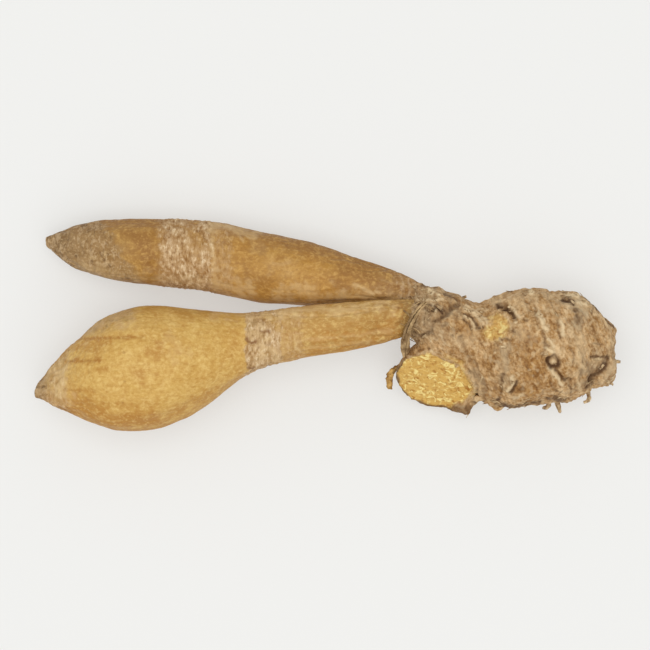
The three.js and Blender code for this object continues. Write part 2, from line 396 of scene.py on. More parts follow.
def finger_relief(piece, seed, furrows, bands, bare, marks, brown, shade_side, pale_and_lit_patches, dark_tip):
    """Moves and paints a finger's skin. furrows are (x, depth), and bands of scurf (from x, to x, softness
    of the first edge, strength). The scurf leaves the bare patches free. brown and pale_and_lit_patches only
    colour, and some pale_and_lit_patches are painted light along the crease. shade_side is the way that the
    side with painted shade faces, and dark_tip works out the mask of the dull tip."""
    places, normals = corners_of(piece)
    x = places[:, 0]
    height = 0.20 * lumps(places, (9, 5, 5), seed) + 0.07 * lumps(places, (3.2, 2.4, 2.4), seed + 3)
    height += 0.02 * lumps(places, 0.8, seed + 5)
    furrow_depth = np.interp(x, [row[0] for row in furrows], [row[1] for row in furrows])
    height -= furrow_depth * (1 - folds(places, (14, 1.3, 1.3), seed + 7))
    wobble = 0.35 * lumps(places, 1.2, seed + 9) + 0.2 * lumps(places, 0.5, seed + 10)
    scurf = np.zeros(len(x))
    for low, high, softness, strength in bands:
        band = step_up(x + wobble, low - softness, low + softness)
        band -= step_up(x + wobble, high - BAND_END, high + BAND_END)
        scurf = np.maximum(scurf, band * strength)
    scurf *= 1 - add_patches(places, normals, bare)
    height += scurf * (0.03 + 0.09 * lumps(places, DASH, seed + 11))
    pores = pits(places * np.array([1, 0.6, 0.6]), 2.4, 0.30, seed + 13)
    pores *= step_up(lumps(places, 5, seed + 15), -0.1, 0.3)
    height += 0.06 * pores
    mark_height, pale, dark = add_marks(places, normals, marks)
    move_corners(piece, places + normals * (height + mark_height)[:, None])
    paint(piece, "scurf", scurf)
    paint(piece, "pore", pores)
    # the pale mask also holds painted light along the crease where the two fingers lie side by side
    paint(piece, "pale", np.maximum(pale, add_patches(places, normals, pale_and_lit_patches)))
    paint(piece, "dark", dark)
    # painted shade: the side that shade_side faces, and the flanks, are tinted brown through the brown mask
    facing = normals @ np.array(shade_side)
    side = step_up(facing + 0.12 * lumps(places, 1.6, seed + 17), 0.42, 0.92)
    flank_shade = 0.85 * (1 - step_up(normals[:, 2] + 0.08 * lumps(places, 1.2, seed + 19), 0.0, 0.42))
    flank_shade *= (1 - step_up(x, CREASE_START - CREASE_FADE, CREASE_START)) * step_up(facing, -0.9, -0.5)
    paint(piece, "brown", np.maximum.reduce([side, flank_shade, add_patches(places, normals, brown)]))
    paint(piece, "tip", dark_tip(places))
    smooth_shaded(piece)
    print(piece.name, "relief, mm:", round(height.min(), 2), "to", round(height.max(), 2))


print("finger relief ready")

# %% [markdown]
# The bulb's tip is dull, and so is a short rubbed stripe beside it on the upper side. Both go into one mask,
# because they are the same dull skin.

# %% Bulb finger relief
RUBBED_LINE = [(-38.8, -0.9), (-34.8, 0.8), (-31.6, 1.6)]


def bulb_tip(places):
    """The dull end, and the rubbed stripe beside it."""
    end = 1 - step_up(places[:, 0] + 0.3 * lumps(places, 1.5, 2.5), -45.6, -43.8)
    rubbed = distance_to_line(places[:, :2], RUBBED_LINE) + 0.6 * lumps(places, 1.4, 4.2)
    return np.maximum(0.8 * end, 0.55 * bell(rubbed, 1.2) * step_up(places[:, 2], 8, 11))


finger_relief(
    bulb, 1.7,
    furrows=[(-46, 0.35), (-38, 0.12), (-30, 0.03), (-14, 0.04), (-6, 0.12), (8, 0.18), (16, 0.25)],
    bands=[(-12.6, -6.9, 0.2, 1.0), (-7.4, -3.4, 0.3, 0.35), (-48, -41.0, 0.2, 0.5)],
    bare=[([(-9.4, 1.6), (-7.6, 0.2)], 0.8, 0.6)],
    marks=[
        ([(-12.2, -2.2), (-11.6, -2.8), (-10.9, -2.6)], 0.28, -0.07, -0.9),
        ([(-11.7, -2.1)], 0.26, 0.06, 0.6),
        ([(-10.1, -1.1), (-8.9, -1.2)], 0.24, -0.06, -0.8),
        ([(-11.6, -6.8)], 0.34, -0.06, -0.8),
        ([(-10.4, -3.6)], 0.26, -0.05, -0.6),
        ([(-8.6, -3.0)], 0.26, -0.05, -0.5),
        ([(-9.6, -2.2), (-8.8, -2.1)], 0.24, 0.06, 0.8),
        ([(-9.9, -4.4), (-9.2, -4.9)], 0.26, 0.06, 0.8),
        ([(-7.9, -3.9), (-7.7, -4.6)], 0.24, 0.06, 0.7),
        ([(-4.6, -2.6), (0.6, -2.2), (5.6, -1.7), (10.6, -1.0)], 0.30, 0.04, 0.35),
        ([(-3.0, -3.9), (2.6, -3.4), (7.4, -2.5)], 0.24, 0.04, 0.3),
        ([(-3.6, -3.2), (1.4, -2.8), (6.6, -2.1), (11.0, -1.5)], 0.22, -0.04, -0.14),
        ([(2.0, -3.9), (7.0, -3.0), (11.6, -2.1)], 0.24, -0.04, -0.22),
        ([(-6.0, -4.6), (-1.0, -4.4), (3.6, -3.9)], 0.24, -0.03, -0.12),
        ([(7.4, -0.9), (9.8, -0.8), (11.8, -0.8)], 0.22, -0.03, -0.15),
        ([(11.8, 2.6)], 0.30, -0.06, -0.4),
        ([(-41.5, -2.2), (-36.0, -2.1), (-28.6, -2.0)], 0.20, -0.05, -0.2),
        ([(-41.6, -5.7), (-38.0, -5.6), (-35.4, -5.7)], 0.20, -0.04, -0.2),
        ([(-42.6, -13.2), (-40.6, -14.0)], 0.30, -0.05, -0.4),
    ],
    brown=[
        ([(-39.0, -13.4), (-33.0, -15.4), (-27.0, -15.2)], 1.8, 1.0),
        ([(-25.0, -14.8), (-19.0, -11.8), (-13.6, -8.0)], 0.8, 0.7),
        ([(-41.0, -12.2), (-36.0, -12.7)], 1.1, 0.9),
        ([(-38.6, -0.8), (-34.6, 1.0), (-31.0, 1.8)], 1.3, 0.8),
        ([(-28.0, 2.6), (-20.0, 1.8), (-14.0, 1.2)], 1.0, 0.5),
        ([(-41.6, -2.2), (-36.0, -2.1), (-28.4, -2.0)], 0.34, 1.0),
        ([(-40.0, -2.8), (-34.0, -2.9)], 0.5, 0.6),
        ([(-41.6, -3.7), (-38.0, -3.6), (-36.0, -3.8)], 0.5, 0.6),
        ([(-40.4, -10.3), (-36.0, -10.4)], 0.3, 0.8),
        ([(-36.4, -6.9), (-34.4, -6.8)], 0.3, 0.7),
        ([(-41.6, -5.7), (-38.0, -5.6), (-35.4, -5.7)], 0.34, 1.0),
        ([(-1.0, -2.4), (5.0, -1.9), (10.6, -1.3)], 1.1, 0.7),
        ([(-26.6, -4.2)], 1.2, 0.7),
        ([(-28.8, -7.5)], 1.0, 0.7),
        ([(9.8, -1.6), (12.0, 1.6)], 1.4, 0.5),
        ([(-14.6, -1.6), (-14.4, -4.6)], 1.3, 0.3),
    ],
    # the way that the side with painted shade faces
    shade_side=(-0.55, -0.83, 0.0),
    pale_and_lit_patches=[
        ([(-38.6, -0.6), (-35.0, 1.0), (-31.4, 1.0)], 1.2, 0.55),
        # painted light: paler skin along the crease beside the slim finger, where shade falls
        ([(-17.0, 1.9), (-5.0, 2.2), (5.0, 2.8), (10.0, 2.9)], 0.9, 0.7),
        ([(-12.0, 0.6), (-10.4, -0.6)], 1.0, 0.5),
        ([(-9.6, -3.4), (-8.0, -4.8)], 1.2, 0.6),
        ([(-42.4, -7.2), (-41.8, -11.4)], 1.2, 0.6),
        ([(-24.6, -2.2), (-22.6, -4.8)], 1.1, 0.25),
        ([(2.6, 2.0), (7.4, 2.4)], 1.0, 0.35),
    ],
    dark_tip=bulb_tip,
)

# %% [markdown]
# The slim finger's tip is a dull grey brown. Its edge runs slantwise over the finger, so the mask adds a
# share of y to x.

# %% Slim finger relief
TIP_SLANT = 0.65  # x gained per y along the edge of the grey tip
TIP_EDGE = (-32.7, 12.0)  # where that edge crosses the middle of the finger


def slim_tip(places):
    past = places[:, 0] - TIP_EDGE[0] + TIP_SLANT * (places[:, 1] - TIP_EDGE[1])
    past += 0.5 * lumps(places, 1.8, 3.5) + 0.25 * lumps(places, 0.6, 4.5)
    return 0.75 * (1 - step_up(past, -0.9, 0.5)) + 0.25 * (1 - step_up(places[:, 0], -44.5, -40.5))


finger_relief(
    slim, 21.3,
    furrows=[(-44, 0.30), (-36, 0.10), (-24, 0.05), (-4, 0.07), (6, 0.16), (16, 0.28)],
    bands=[(-26.2, -18.0, 1.1, 1.0), (-18.4, -14.8, 0.3, 0.35), (11.0, 17.0, 1.0, 0.45),
           (-48, -44.0, 0.2, 0.4)],
    bare=[([(-21.6, 15.8), (-20.6, 12.8)], 1.5, 0.75)],
    marks=[
        ([(-18.0, 14.8), (-17.8, 11.0), (-17.5, 6.6)], 0.26, 0.04, 0.5),
        ([(-17.3, 13.6), (-17.0, 10.0), (-17.0, 7.0)], 0.26, -0.03, -0.2),
        ([(-35.2, 11.4)], 0.26, 0.08, 1.0),
        ([(-7.5, 10.6), (-6.3, 10.7)], 0.22, -0.04, -0.4),
        ([(-8.3, 9.8), (-7.0, 9.7), (-5.6, 10.0)], 0.30, 0.04, 0.35),
        ([(4.6, 6.4), (5.9, 5.9)], 0.34, 0.08, 0.8),
        ([(6.2, 5.8), (7.5, 5.0)], 0.34, 0.08, 0.8),
        ([(8.1, 5.4), (8.8, 5.0)], 0.26, 0.08, 0.7),
        ([(6.0, 5.0), (9.6, 4.4), (12.4, 4.2)], 0.22, 0.04, 0.3),
        ([(-1.0, 3.9), (4.0, 3.7), (9.0, 3.9)], 0.30, -0.03, -0.35),
        ([(-1.0, 8.8), (4.4, 8.2), (8.8, 7.6)], 0.24, -0.03, -0.14),
        ([(-6.0, 12.8), (-1.0, 11.6), (4.0, 10.0)], 0.24, -0.03, -0.14),
        ([(-13.4, 14.0), (-13.0, 13.4)], 0.26, 0.05, 0.5),
        ([(9.0, 7.2), (12.0, 6.4), (14.0, 5.9)], 0.20, 0.04, 0.25),
        ([(10.4, 6.6), (13.6, 5.4)], 0.20, -0.04, -0.25),
    ],
    brown=[
        ([(-31.0, 14.6), (-29.0, 12.0), (-27.6, 8.4)], 1.5, 0.9),
        ([(-13.2, 9.4), (-11.8, 7.4), (-9.0, 6.4)], 1.1, 0.6),
        ([(-16.4, 14.4), (-15.9, 11.0), (-15.8, 7.8)], 0.9, 0.5),
        ([(2.6, 9.6), (9.0, 7.4), (13.6, 5.4)], 1.7, 0.8),
        ([(-20.6, 14.8), (-20.8, 12.8)], 1.3, 0.6),
        ([(-25.4, 15.2), (-25.0, 13.6)], 1.2, 0.8),
        ([(-11.0, 13.6), (-10.2, 12.8)], 1.2, 0.7),
        ([(2.4, 6.4), (3.4, 5.6)], 1.0, 0.7),
    ],
    # the way that the side with painted shade faces
    shade_side=(0.1, 0.99, 0.0),
    pale_and_lit_patches=[
        ([(-18.0, 15.9), (-15.0, 15.6), (-11.6, 14.9)], 0.8, 0.6),
        ([(-18.0, 7.0), (-15.4, 6.0), (-12.4, 5.3)], 1.0, 0.7),
        ([(-9.8, 11.8), (-8.0, 9.6), (-5.0, 8.4)], 1.2, 0.15),
        ([(-38.6, 9.0), (-34.6, 8.2), (-26.0, 7.2), (-19.0, 6.4)], 1.0, 0.4),
        # painted light: paler skin along the crease beside the bulb's neck, where shade falls
        ([(-7.0, 5.0), (2.0, 4.2), (10.0, 4.0)], 1.0, 0.6),
    ],
    dark_tip=slim_tip,
)

# %% [markdown]
# ## The rhizome
#
# The rhizome is one grown body with several lobes: the blunt barrel, the neck that holds the fingers, a side
# shoot that was cut off, and a few spurs. Lobes that only poke into each other would show hard creases, so
# they are grown apart, joined, and remeshed into one skin, and then smoothed where they meet.

# %% Rhizome lobes
BARREL_STATIONS = [
    [20.8, -3.4, 8.8, 7.6], [23.4, -3.6, 8.9, 12.2], [26.0, -3.9, 9.0, 15.5], [28.6, -4.0, 9.2, 17.8],
    [31.4, -3.7, 9.3, 18.7], [34.6, -3.4, 9.2, 18.5], [37.6, -3.3, 9.1, 17.6], [40.4, -3.2, 8.9, 16.3],
    [42.8, -3.5, 8.7, 13.3], [44.7, -4.2, 8.6, 11.0], [45.8, -4.5, 8.6, 9.4], [46.3, -4.5, 8.6, 7.2],
]
NECK_STATIONS = [
    [13.0, 1.0, 9.8, 4.8], [14.4, 1.1, 9.7, 6.8], [16.0, 0.9, 9.5, 9.6], [18.4, 0.1, 9.1, 11.3],
    [22.6, -1.4, 8.8, 11.2], [26.0, -2.2, 8.8, 9.6],
]
SHOOT_FACING = Vector((-0.2, -0.72, 0.67)).normalized()
SHOOT_FACE = Vector((17.6, -9.0, 8.2))
FACE_WIDTH = 12.7
SHOOT_STATIONS = [
    [*SHOOT_FACE, FACE_WIDTH], [17.9, -8.5, 7.9, 13.0], [19.4, -7.0, 7.6, 13.4], [22.0, -4.9, 7.2, 13.0],
    [25.0, -3.0, 7.0, 12.0],
]
SPUR_STATIONS = [
    [13.8, 5.3, 8.0, 2.2], [15.4, 4.7, 9.4, 3.4], [17.6, 3.8, 10.6, 3.9], [20.0, 3.0, 11.6, 3.2],
    [21.9, 3.0, 11.4, 2.0],
]
POINT_STATIONS = [[26.6, -11.0, 7.6, 5.4], [27.4, -12.6, 7.6, 3.2], [28.0, -13.9, 7.6, 1.0]]
STUB_STATIONS = [[23.0, -10.0, 4.8, 4.8], [22.0, -12.4, 4.4, 4.2], [21.6, -14.2, 4.2, 3.4]]
TOOTH_STATIONS = [[45.0, -1.0, 8.8, 2.4], [46.2, -0.8, 8.8, 1.4], [46.8, -0.7, 8.8, 0.6]]

lobes = [
    grow("barrel", BARREL_STATIONS, 30, 40),
    grow("neck", NECK_STATIONS, 14, 32, oval=1.12),
    grow("side_shoot", SHOOT_STATIONS, 12, 40, facing=SHOOT_FACING),
    grow("spur", SPUR_STATIONS, 12, 20),
    grow("pointed_spur", POINT_STATIONS, 6, 16, facing=(0.3, -1, 0)),
    grow("broken_stub", STUB_STATIONS, 6, 16, facing=(-0.3, -1, 0)),
    grow("end_tooth", TOOTH_STATIONS, 6, 12),
]
rhizome = join("rhizome_body", lobes)
VOXEL = 0.35
apply_modifier(rhizome, "REMESH", mode="VOXEL", voxel_size=VOXEL * MM)
print("rhizome faces after the remesh:", len(rhizome.data.polygons))

# %% [markdown]
# The crease between two lobes is smoothed, but the knife's edge round the cut face must stay crisp. So the
# corners near the cut are left out of the smoothing by a vertex group. One subdivision then gives the mesh
# the corners that the relief needs.

# %% Smooth the joints, keep the knife's edge
def cut_coordinates(places):
    """Across and up the cut face, and out of it, in millimetres from its middle."""
    across = Vector((0, 0, 1)).cross(SHOOT_FACING).normalized()
    up = SHOOT_FACING.cross(across)
    offsets = places - np.array(SHOOT_FACE)
    return offsets @ np.array(across), offsets @ np.array(up), offsets @ np.array(SHOOT_FACING)


places, normals = corners_of(rhizome)
across, up, out = cut_coordinates(places)
near_cut = (np.abs(out) < 0.9) & (np.hypot(across, up) < 8)
soft = rhizome.vertex_groups.new(name="soft")
soft.add(np.nonzero(~near_cut)[0].tolist(), 1.0, "REPLACE")
apply_modifier(rhizome, "SMOOTH", factor=0.6, iterations=9, vertex_group="soft")
subdivide(rhizome, 1)
print("rhizome faces:", len(rhizome.data.polygons))

# %% [markdown]
# ### The marks on the rhizome
#
# Leaf scars cross the barrel as slanting ridges, and each bud, root and knife cut has left its own mark. The
# leaf scars go right round, so they are planes rather than strokes. Everything else is a mark on the upper
# side, listed group by group.

# %% Marks on the neck and round the cut
NECK_MARKS = [
    # crevices between the collar of the fingers and the barrel
    ([(21.1, 3.5), (20.2, 2.8), (19.4, 1.8), (18.4, 1.2), (17.4, 0.6)], 0.40, -0.40, -0.6),
    ([(16.9, -0.9), (16.2, -1.4), (15.2, -1.7), (14.3, -1.4)], 0.30, -0.30, -0.6),
    ([(17.4, 0.6), (17.1, -0.2), (16.9, -0.9)], 0.28, -0.26, -0.4),
    # torn tufts in the crevice
    ([(17.0, 2.4), (17.7, 3.2)], 0.24, -0.32, -0.8),
    ([(17.9, 2.8), (18.6, 2.1)], 0.28, -0.35, -1.0),
    ([(18.9, 2.5), (19.3, 2.2)], 0.22, -0.25, -0.8),
    ([(16.2, 2.8), (16.7, 1.5)], 0.24, -0.22, -0.5),
    ([(19.5, 2.7), (18.7, 1.4)], 0.50, -0.15, -0.45),
    ([(17.2, 3.3), (17.4, 2.6), (17.5, 2.0)], 0.18, 0.26, 0.9),
    ([(18.3, 2.7), (18.6, 2.3)], 0.18, 0.26, 0.9),
    ([(19.0, 1.0), (19.8, 1.9), (20.6, 2.4)], 0.24, 0.15, 0.4),
    ([(15.2, 3.0), (16.4, 2.2)], 0.30, -0.12, -0.6),
    # the knob where a third root broke away
    ([(16.3, 5.1), (16.5, 5.5), (17.0, 5.5), (17.3, 5.1), (17.0, 4.7), (16.6, 4.7), (16.3, 5.1)],
     0.17, 0.18, 1.0),
    ([(16.8, 5.1)], 0.18, -0.15, -0.6),
    ([(18.0, 4.6)], 0.26, 0.14, 1.0),
    ([(11.2, 4.2), (13.6, 4.3), (15.6, 4.1), (17.1, 3.9), (18.6, 4.0)], 0.18, 0.15, 0.8),
    ([(12.4, 3.7), (14.7, 3.5), (16.1, 3.3), (17.1, 3.1)], 0.22, -0.30, -0.7),
    ([(18.9, 5.0), (19.9, 4.3), (21.0, 4.0)], 0.22, -0.15, -0.7),
    ([(15.4, 6.0), (16.6, 6.1), (17.8, 5.8)], 0.20, -0.10, -0.6),
    # skin between the neck and the cut
    ([(18.9, -0.1), (19.2, 0.3)], 0.26, -0.12, -0.5),
    ([(19.9, -0.7), (21.2, -0.9)], 0.30, -0.08, -0.3),
    ([(21.6, -1.9)], 0.24, -0.14, -0.6),
    ([(20.1, -1.7)], 0.20, -0.12, -0.6),
    ([(16.5, -3.8)], 0.20, -0.12, -0.7),
    ([(16.9, -4.3)], 0.30, 0.10, 1.0),
    ([(18.2, -1.6), (19.4, -3.2)], 0.18, 0.12, 0.5),
    ([(20.2, -0.6), (20.8, -2.6), (21.8, -4.2)], 0.18, 0.12, 0.5),
    ([(14.9, -1.6), (17.0, -1.6)], 0.22, -0.14, -0.4),
    # the lips of skin that curl round the cut
    ([(21.2, -6.7), (22.9, -7.7), (24.2, -9.3), (24.0, -10.9), (22.7, -12.2)], 0.26, 0.24, 0.45),
    ([(22.6, -6.4), (24.1, -7.8), (25.0, -9.5), (24.8, -11.3), (23.9, -12.8)], 0.20, 0.18, 0.35),
    ([(22.6, -7.0), (24.2, -8.5), (24.5, -10.0), (24.0, -11.8)], 0.16, -0.20, -0.4),
    ([(23.8, -7.1), (24.5, -8.5)], 0.45, -0.08, -0.35),
    ([(21.4, -2.0), (22.4, -4.8), (23.8, -6.6), (25.1, -8.7), (25.6, -11.7)], 0.30, -0.16, -0.35),
    ([(24.0, -12.5), (25.3, -12.4)], 0.26, -0.05, -0.7),
    # a notch under the lip, raised and painted pale: painted light that lifts its shade
    ([(23.8, -10.8), (24.3, -11.6)], 0.60, 0.55, 0.6),
]
print("marks on the neck:", len(NECK_MARKS))

# %% Marks on the barrel
BARREL_MARKS = [
    # nested wrinkles beside the bud scar
    ([(22.4, 3.0), (23.8, 2.5), (25.1, 1.4), (25.8, 0.1), (25.7, -1.4)], 0.18, 0.20, 0.7),
    ([(22.3, 2.5), (23.6, 1.9), (24.6, 1.0), (25.2, 0.0)], 0.22, 0.22, 0.85),
    ([(22.2, 1.9), (23.2, 1.4), (24.0, 0.5), (24.3, -0.6)], 0.17, -0.22, -0.8),
    ([(22.0, 1.5), (22.8, 1.0), (23.6, 0.2), (23.9, -0.8)], 0.20, 0.20, 0.8),
    ([(21.8, 1.0), (22.6, 0.3), (23.3, -0.5), (23.5, -1.5)], 0.17, -0.20, -0.7),
    ([(23.4, 1.7), (24.5, 2.7), (25.4, 2.4)], 0.18, 0.14, 0.5),
    ([(24.9, -0.4)], 0.24, -0.14, -0.9),
    ([(24.0, -0.6)], 0.20, -0.12, -0.8),
    # the gap and the flap of skin over the bud scar: the gap is sunk, and painted dark as the shadow in it
    ([(27.4, 3.0), (28.4, 2.9)], 0.38, -0.42, -1.0),
    ([(28.3, 2.9), (29.0, 2.6), (29.5, 2.0), (30.0, 1.0)], 0.34, -0.42, -0.9),
    ([(29.7, 2.7), (30.2, 1.9), (30.7, 1.0)], 0.24, 0.20, 0.9),
    ([(30.0, 0.5)], 0.28, 0.10, 1.0),
    ([(29.7, -0.9)], 0.32, -0.26, -0.7),
    ([(28.2, -2.2), (29.1, -2.2)], 0.20, -0.15, -0.7),
    ([(31.8, 3.4)], 0.28, -0.12, -0.6),
    ([(31.2, 0.8), (31.6, 0.5), (32.1, 0.8)], 0.15, -0.12, -0.6),
    # the first leaf scar
    ([(33.1, 5.4), (33.3, 4.0), (33.7, 2.6)], 0.26, 0.15, 0.4),
    ([(32.7, 5.7), (32.8, 5.0)], 0.42, 0.10, 1.0),
    ([(33.4, 1.6), (33.7, 2.1), (34.1, 1.6), (33.8, 1.1), (33.4, 1.6)], 0.20, 0.18, 0.9),
    ([(34.0, 1.0), (34.4, 0.2), (34.6, -0.5), (35.0, -1.0)], 0.28, 0.24, 1.0),
    ([(33.2, 2.4), (33.4, 0.6), (33.8, -0.6)], 0.22, -0.14, -0.4),
    ([(35.1, -2.2), (36.1, -3.3)], 0.28, 0.20, 1.0),
    ([(34.7, -3.6), (36.0, -4.3)], 0.26, 0.18, 1.0),
    ([(34.6, -2.6), (35.3, -3.3)], 0.20, -0.16, -0.6),
    # painted shadow beside the step of the ridge
    ([(34.4, -1.2), (34.6, -2.8), (34.5, -4.9)], 0.26, -0.14, -0.4),
    # the second leaf scar
    ([(37.0, 0.5), (37.4, -0.6), (37.6, -1.6)], 0.30, 0.24, 1.0),
    ([(37.8, 0.9), (38.2, -0.1), (39.0, -0.8)], 0.18, 0.12, 0.5),
    ([(38.5, -0.9), (39.6, -2.2), (40.2, -3.5), (40.4, -5.3)], 0.45, 0.20, 0.4),
    # painted shadow beside the step of the ridge
    ([(36.5, 0.6), (36.8, -0.8), (37.1, -1.9)], 0.20, -0.16, -0.5),
    ([(38.7, -3.3), (39.3, -4.9), (39.2, -6.5)], 0.20, -0.12, -0.4),
    # the torn patch by the upper edge
    ([(37.9, 4.0), (38.7, 4.0)], 0.60, -0.50, -1.0),
    ([(38.7, 4.1), (39.5, 3.6)], 0.26, -0.25, -1.0),
    ([(37.4, 3.7), (38.1, 3.4), (38.7, 3.5)], 0.18, 0.12, 0.7),
    ([(39.7, 2.1)], 0.42, -0.35, -1.0),
    ([(39.7, 1.1), (40.1, 0.8)], 0.46, -0.20, -0.8),
    ([(38.7, 4.9), (40.1, 4.5)], 0.38, 0.22, 1.0),
    ([(40.0, 3.9), (41.2, 3.1)], 0.42, 0.24, 1.0),
    ([(42.4, 2.5), (42.3, 1.7)], 0.20, -0.12, -0.7),
    ([(41.2, 4.4), (43.0, 2.8), (44.7, 1.0), (46.0, -0.4)], 0.26, -0.16, -0.8),
    ([(40.8, 3.7), (42.6, 2.1), (44.4, 0.4), (45.6, -0.9)], 0.26, 0.14, 0.5),
    ([(42.5, -2.9), (43.8, -3.0)], 0.18, -0.08, -0.5),
]
print("marks on the barrel:", len(BARREL_MARKS))

# %% Marks low on the barrel
LOW_MARKS = [
    # the wedge crease at the blunt end
    ([(46.9, -3.6), (46.9, -5.0)], 1.20, -0.60, -0.1),
    ([(42.3, -5.0), (43.8, -5.1), (45.0, -5.0)], 0.22, -0.20, -0.8),
    ([(45.1, -5.2), (44.6, -6.1), (43.9, -7.1), (43.1, -8.0), (42.4, -8.7)], 0.34, -0.38, -0.9),
    ([(42.4, -8.7), (41.9, -9.2), (41.5, -9.8)], 0.46, -0.42, -1.0),
    ([(42.3, -8.8), (42.7, -9.7)], 0.24, -0.28, -0.7),
    ([(46.1, -5.8), (45.3, -6.9), (44.6, -8.0), (43.9, -9.0)], 0.40, 0.24, 0.45),
    ([(45.8, -8.5)], 0.24, 0.10, 1.0),
    ([(44.0, -7.9)], 0.22, 0.08, 0.7),
    ([(44.9, -8.9), (45.4, -9.2)], 0.20, 0.08, 0.7),
    ([(46.0, -9.2)], 0.28, -0.10, -0.9),
    ([(40.7, -5.9)], 0.28, -0.10, -0.6),
    ([(40.3, -7.1), (40.5, -8.3)], 0.30, -0.15, -0.5),
    # the trough under the root scar
    ([(36.5, -7.2), (37.1, -7.9), (37.8, -8.5), (38.7, -8.8)], 0.26, -0.30, -0.8),
    ([(38.5, -8.8)], 0.36, -0.20, -0.8),
    ([(35.3, -6.8), (36.0, -7.5), (36.8, -8.5), (37.4, -9.2)], 0.28, 0.22, 0.9),
    ([(38.7, -9.3), (39.2, -10.8)], 0.20, -0.15, -0.6),
    ([(39.9, -8.5), (40.2, -9.5)], 0.30, 0.15, 0.6),
    ([(37.4, -10.3), (38.5, -11.3)], 0.24, 0.15, 0.5),
    ([(35.8, -9.3), (36.8, -10.5)], 0.22, -0.10, -0.4),
    ([(35.3, -11.8), (38.1, -11.9)], 0.30, -0.10, -0.8),
    # curled streaks low on the left
    ([(29.5, -8.3), (29.7, -9.1), (29.3, -9.8), (28.8, -10.2)], 0.28, 0.26, 1.0),
    ([(30.3, -9.1), (29.9, -10.0), (29.2, -10.6)], 0.26, -0.35, -0.9),
    ([(31.5, -10.9), (30.6, -11.4), (29.9, -11.3)], 0.24, 0.16, 0.7),
    ([(31.0, -10.2)], 0.50, -0.08, -0.5),
    ([(28.1, -7.9), (28.0, -8.7)], 0.30, -0.20, -0.7),
    ([(27.9, -9.3), (27.8, -11.5)], 0.22, -0.18, -0.6),
    ([(27.6, -11.9)], 0.34, -0.20, -0.9),
    ([(28.6, -7.3), (28.4, -5.5), (28.4, -3.7)], 0.30, 0.10, 0.35),
    ([(27.4, -12.6), (30.4, -12.9), (34.3, -12.5)], 0.30, -0.10, -0.9),
]
print("marks low on the barrel:", len(LOW_MARKS))

# %% Patches on the rhizome
BROWN_PATCHES = [
    ([(13.4, -4.6), (15.6, -3.7)], 0.8, 0.6),
    ([(18.4, -1.6), (20.6, -3.4), (22.4, -5.0)], 1.5, 0.3),
    ([(31.9, -2.6), (32.4, -5.6), (32.8, -8.7)], 2.1, 1.0),
    ([(35.6, 0.6), (35.7, -0.3)], 0.8, 0.6),
    ([(30.5, -10.1), (34.1, -10.5)], 1.0, 0.9),
    ([(23.8, -6.9), (24.7, -9.5)], 1.0, 0.4),
    ([(26.4, -1.8), (26.0, -3.3)], 1.0, 0.4),
    ([(19.4, 0.6), (20.6, -0.2)], 0.9, 0.5),
    ([(36.0, 3.8), (35.3, 4.8)], 0.9, 0.3),
    ([(17.6, 1.6), (20.4, 2.4)], 1.2, 0.8),
    ([(20.0, -0.3), (22.6, -1.1)], 0.8, 0.8),
    ([(43.0, 3.0), (45.2, 0.6)], 0.6, 0.6),
    ([(30.3, -10.3), (31.6, -10.2)], 0.7, 0.7),
    ([(37.0, -8.0), (38.8, -8.8)], 0.6, 0.7),
    ([(26.4, -4.0), (26.8, -5.6)], 1.4, 0.7),
    ([(33.8, -3.6), (34.0, -4.6)], 1.0, 0.5),
    ([(25.6, -9.6), (26.4, -11.4)], 1.1, 0.6),
    ([(24.4, -2.4), (25.0, -2.0)], 1.0, 0.5),
    ([(33.4, -3.4), (33.6, -1.8)], 0.9, 0.5),
    ([(41.6, -3.0), (42.4, -1.6)], 1.0, 0.4),
    ([(34.0, -10.0), (34.4, -11.6)], 1.0, 0.6),
    ([(24.6, -8.0), (24.2, -11.4)], 0.9, 0.3),
    ([(43.6, -5.8), (42.4, -7.6)], 1.2, 0.7),
]
GREY_PATCHES = [
    ([(17.5, 5.2), (19.6, 4.8), (21.5, 4.0)], 0.9, 0.7),
    ([(46.2, -4.0), (46.2, -7.5), (45.6, -9.2)], 0.8, 0.6),
    ([(27.8, -2.6), (28.5, -4.9), (28.4, -8.5)], 1.1, 0.6),
    ([(39.8, 2.4), (40.0, 1.0)], 1.1, 1.0),
    ([(43.2, -5.9), (42.0, -7.5)], 1.4, 0.9),
    ([(15.0, 1.8), (16.8, -0.4)], 1.4, 1.0),
    ([(18.4, 2.0), (21.4, 2.4)], 1.0, 0.8),
    ([(22.2, 3.0), (23.4, 1.6)], 1.0, 0.5),
    ([(40.4, -7.9), (40.2, -9.7)], 0.7, 0.4),
]
PALE_PATCHES = [
    ([(30.6, -1.4), (30.8, -2.6)], 1.3, 0.35),
    ([(35.8, 4.4), (38.4, 3.2), (41.0, 3.0)], 1.4, 0.45),
    ([(28.6, 3.9), (27.4, 4.3)], 1.0, 0.4),
    ([(36.2, -4.2), (37.4, -4.0)], 0.9, 0.4),
    ([(40.2, -6.2), (40.0, -7.0)], 1.1, 0.35),
    ([(23.6, -8.2), (24.4, -10.0)], 0.9, 0.4),
    ([(39.6, -1.6), (40.2, -4.1)], 0.9, 0.4),
    ([(20.8, -2.6), (23.0, -2.4)], 0.8, 0.3),
    ([(29.3, 4.0), (32.7, 4.6)], 1.0, 0.25),
]
print("patches:", len(BROWN_PATCHES) + len(GREY_PATCHES) + len(PALE_PATCHES))

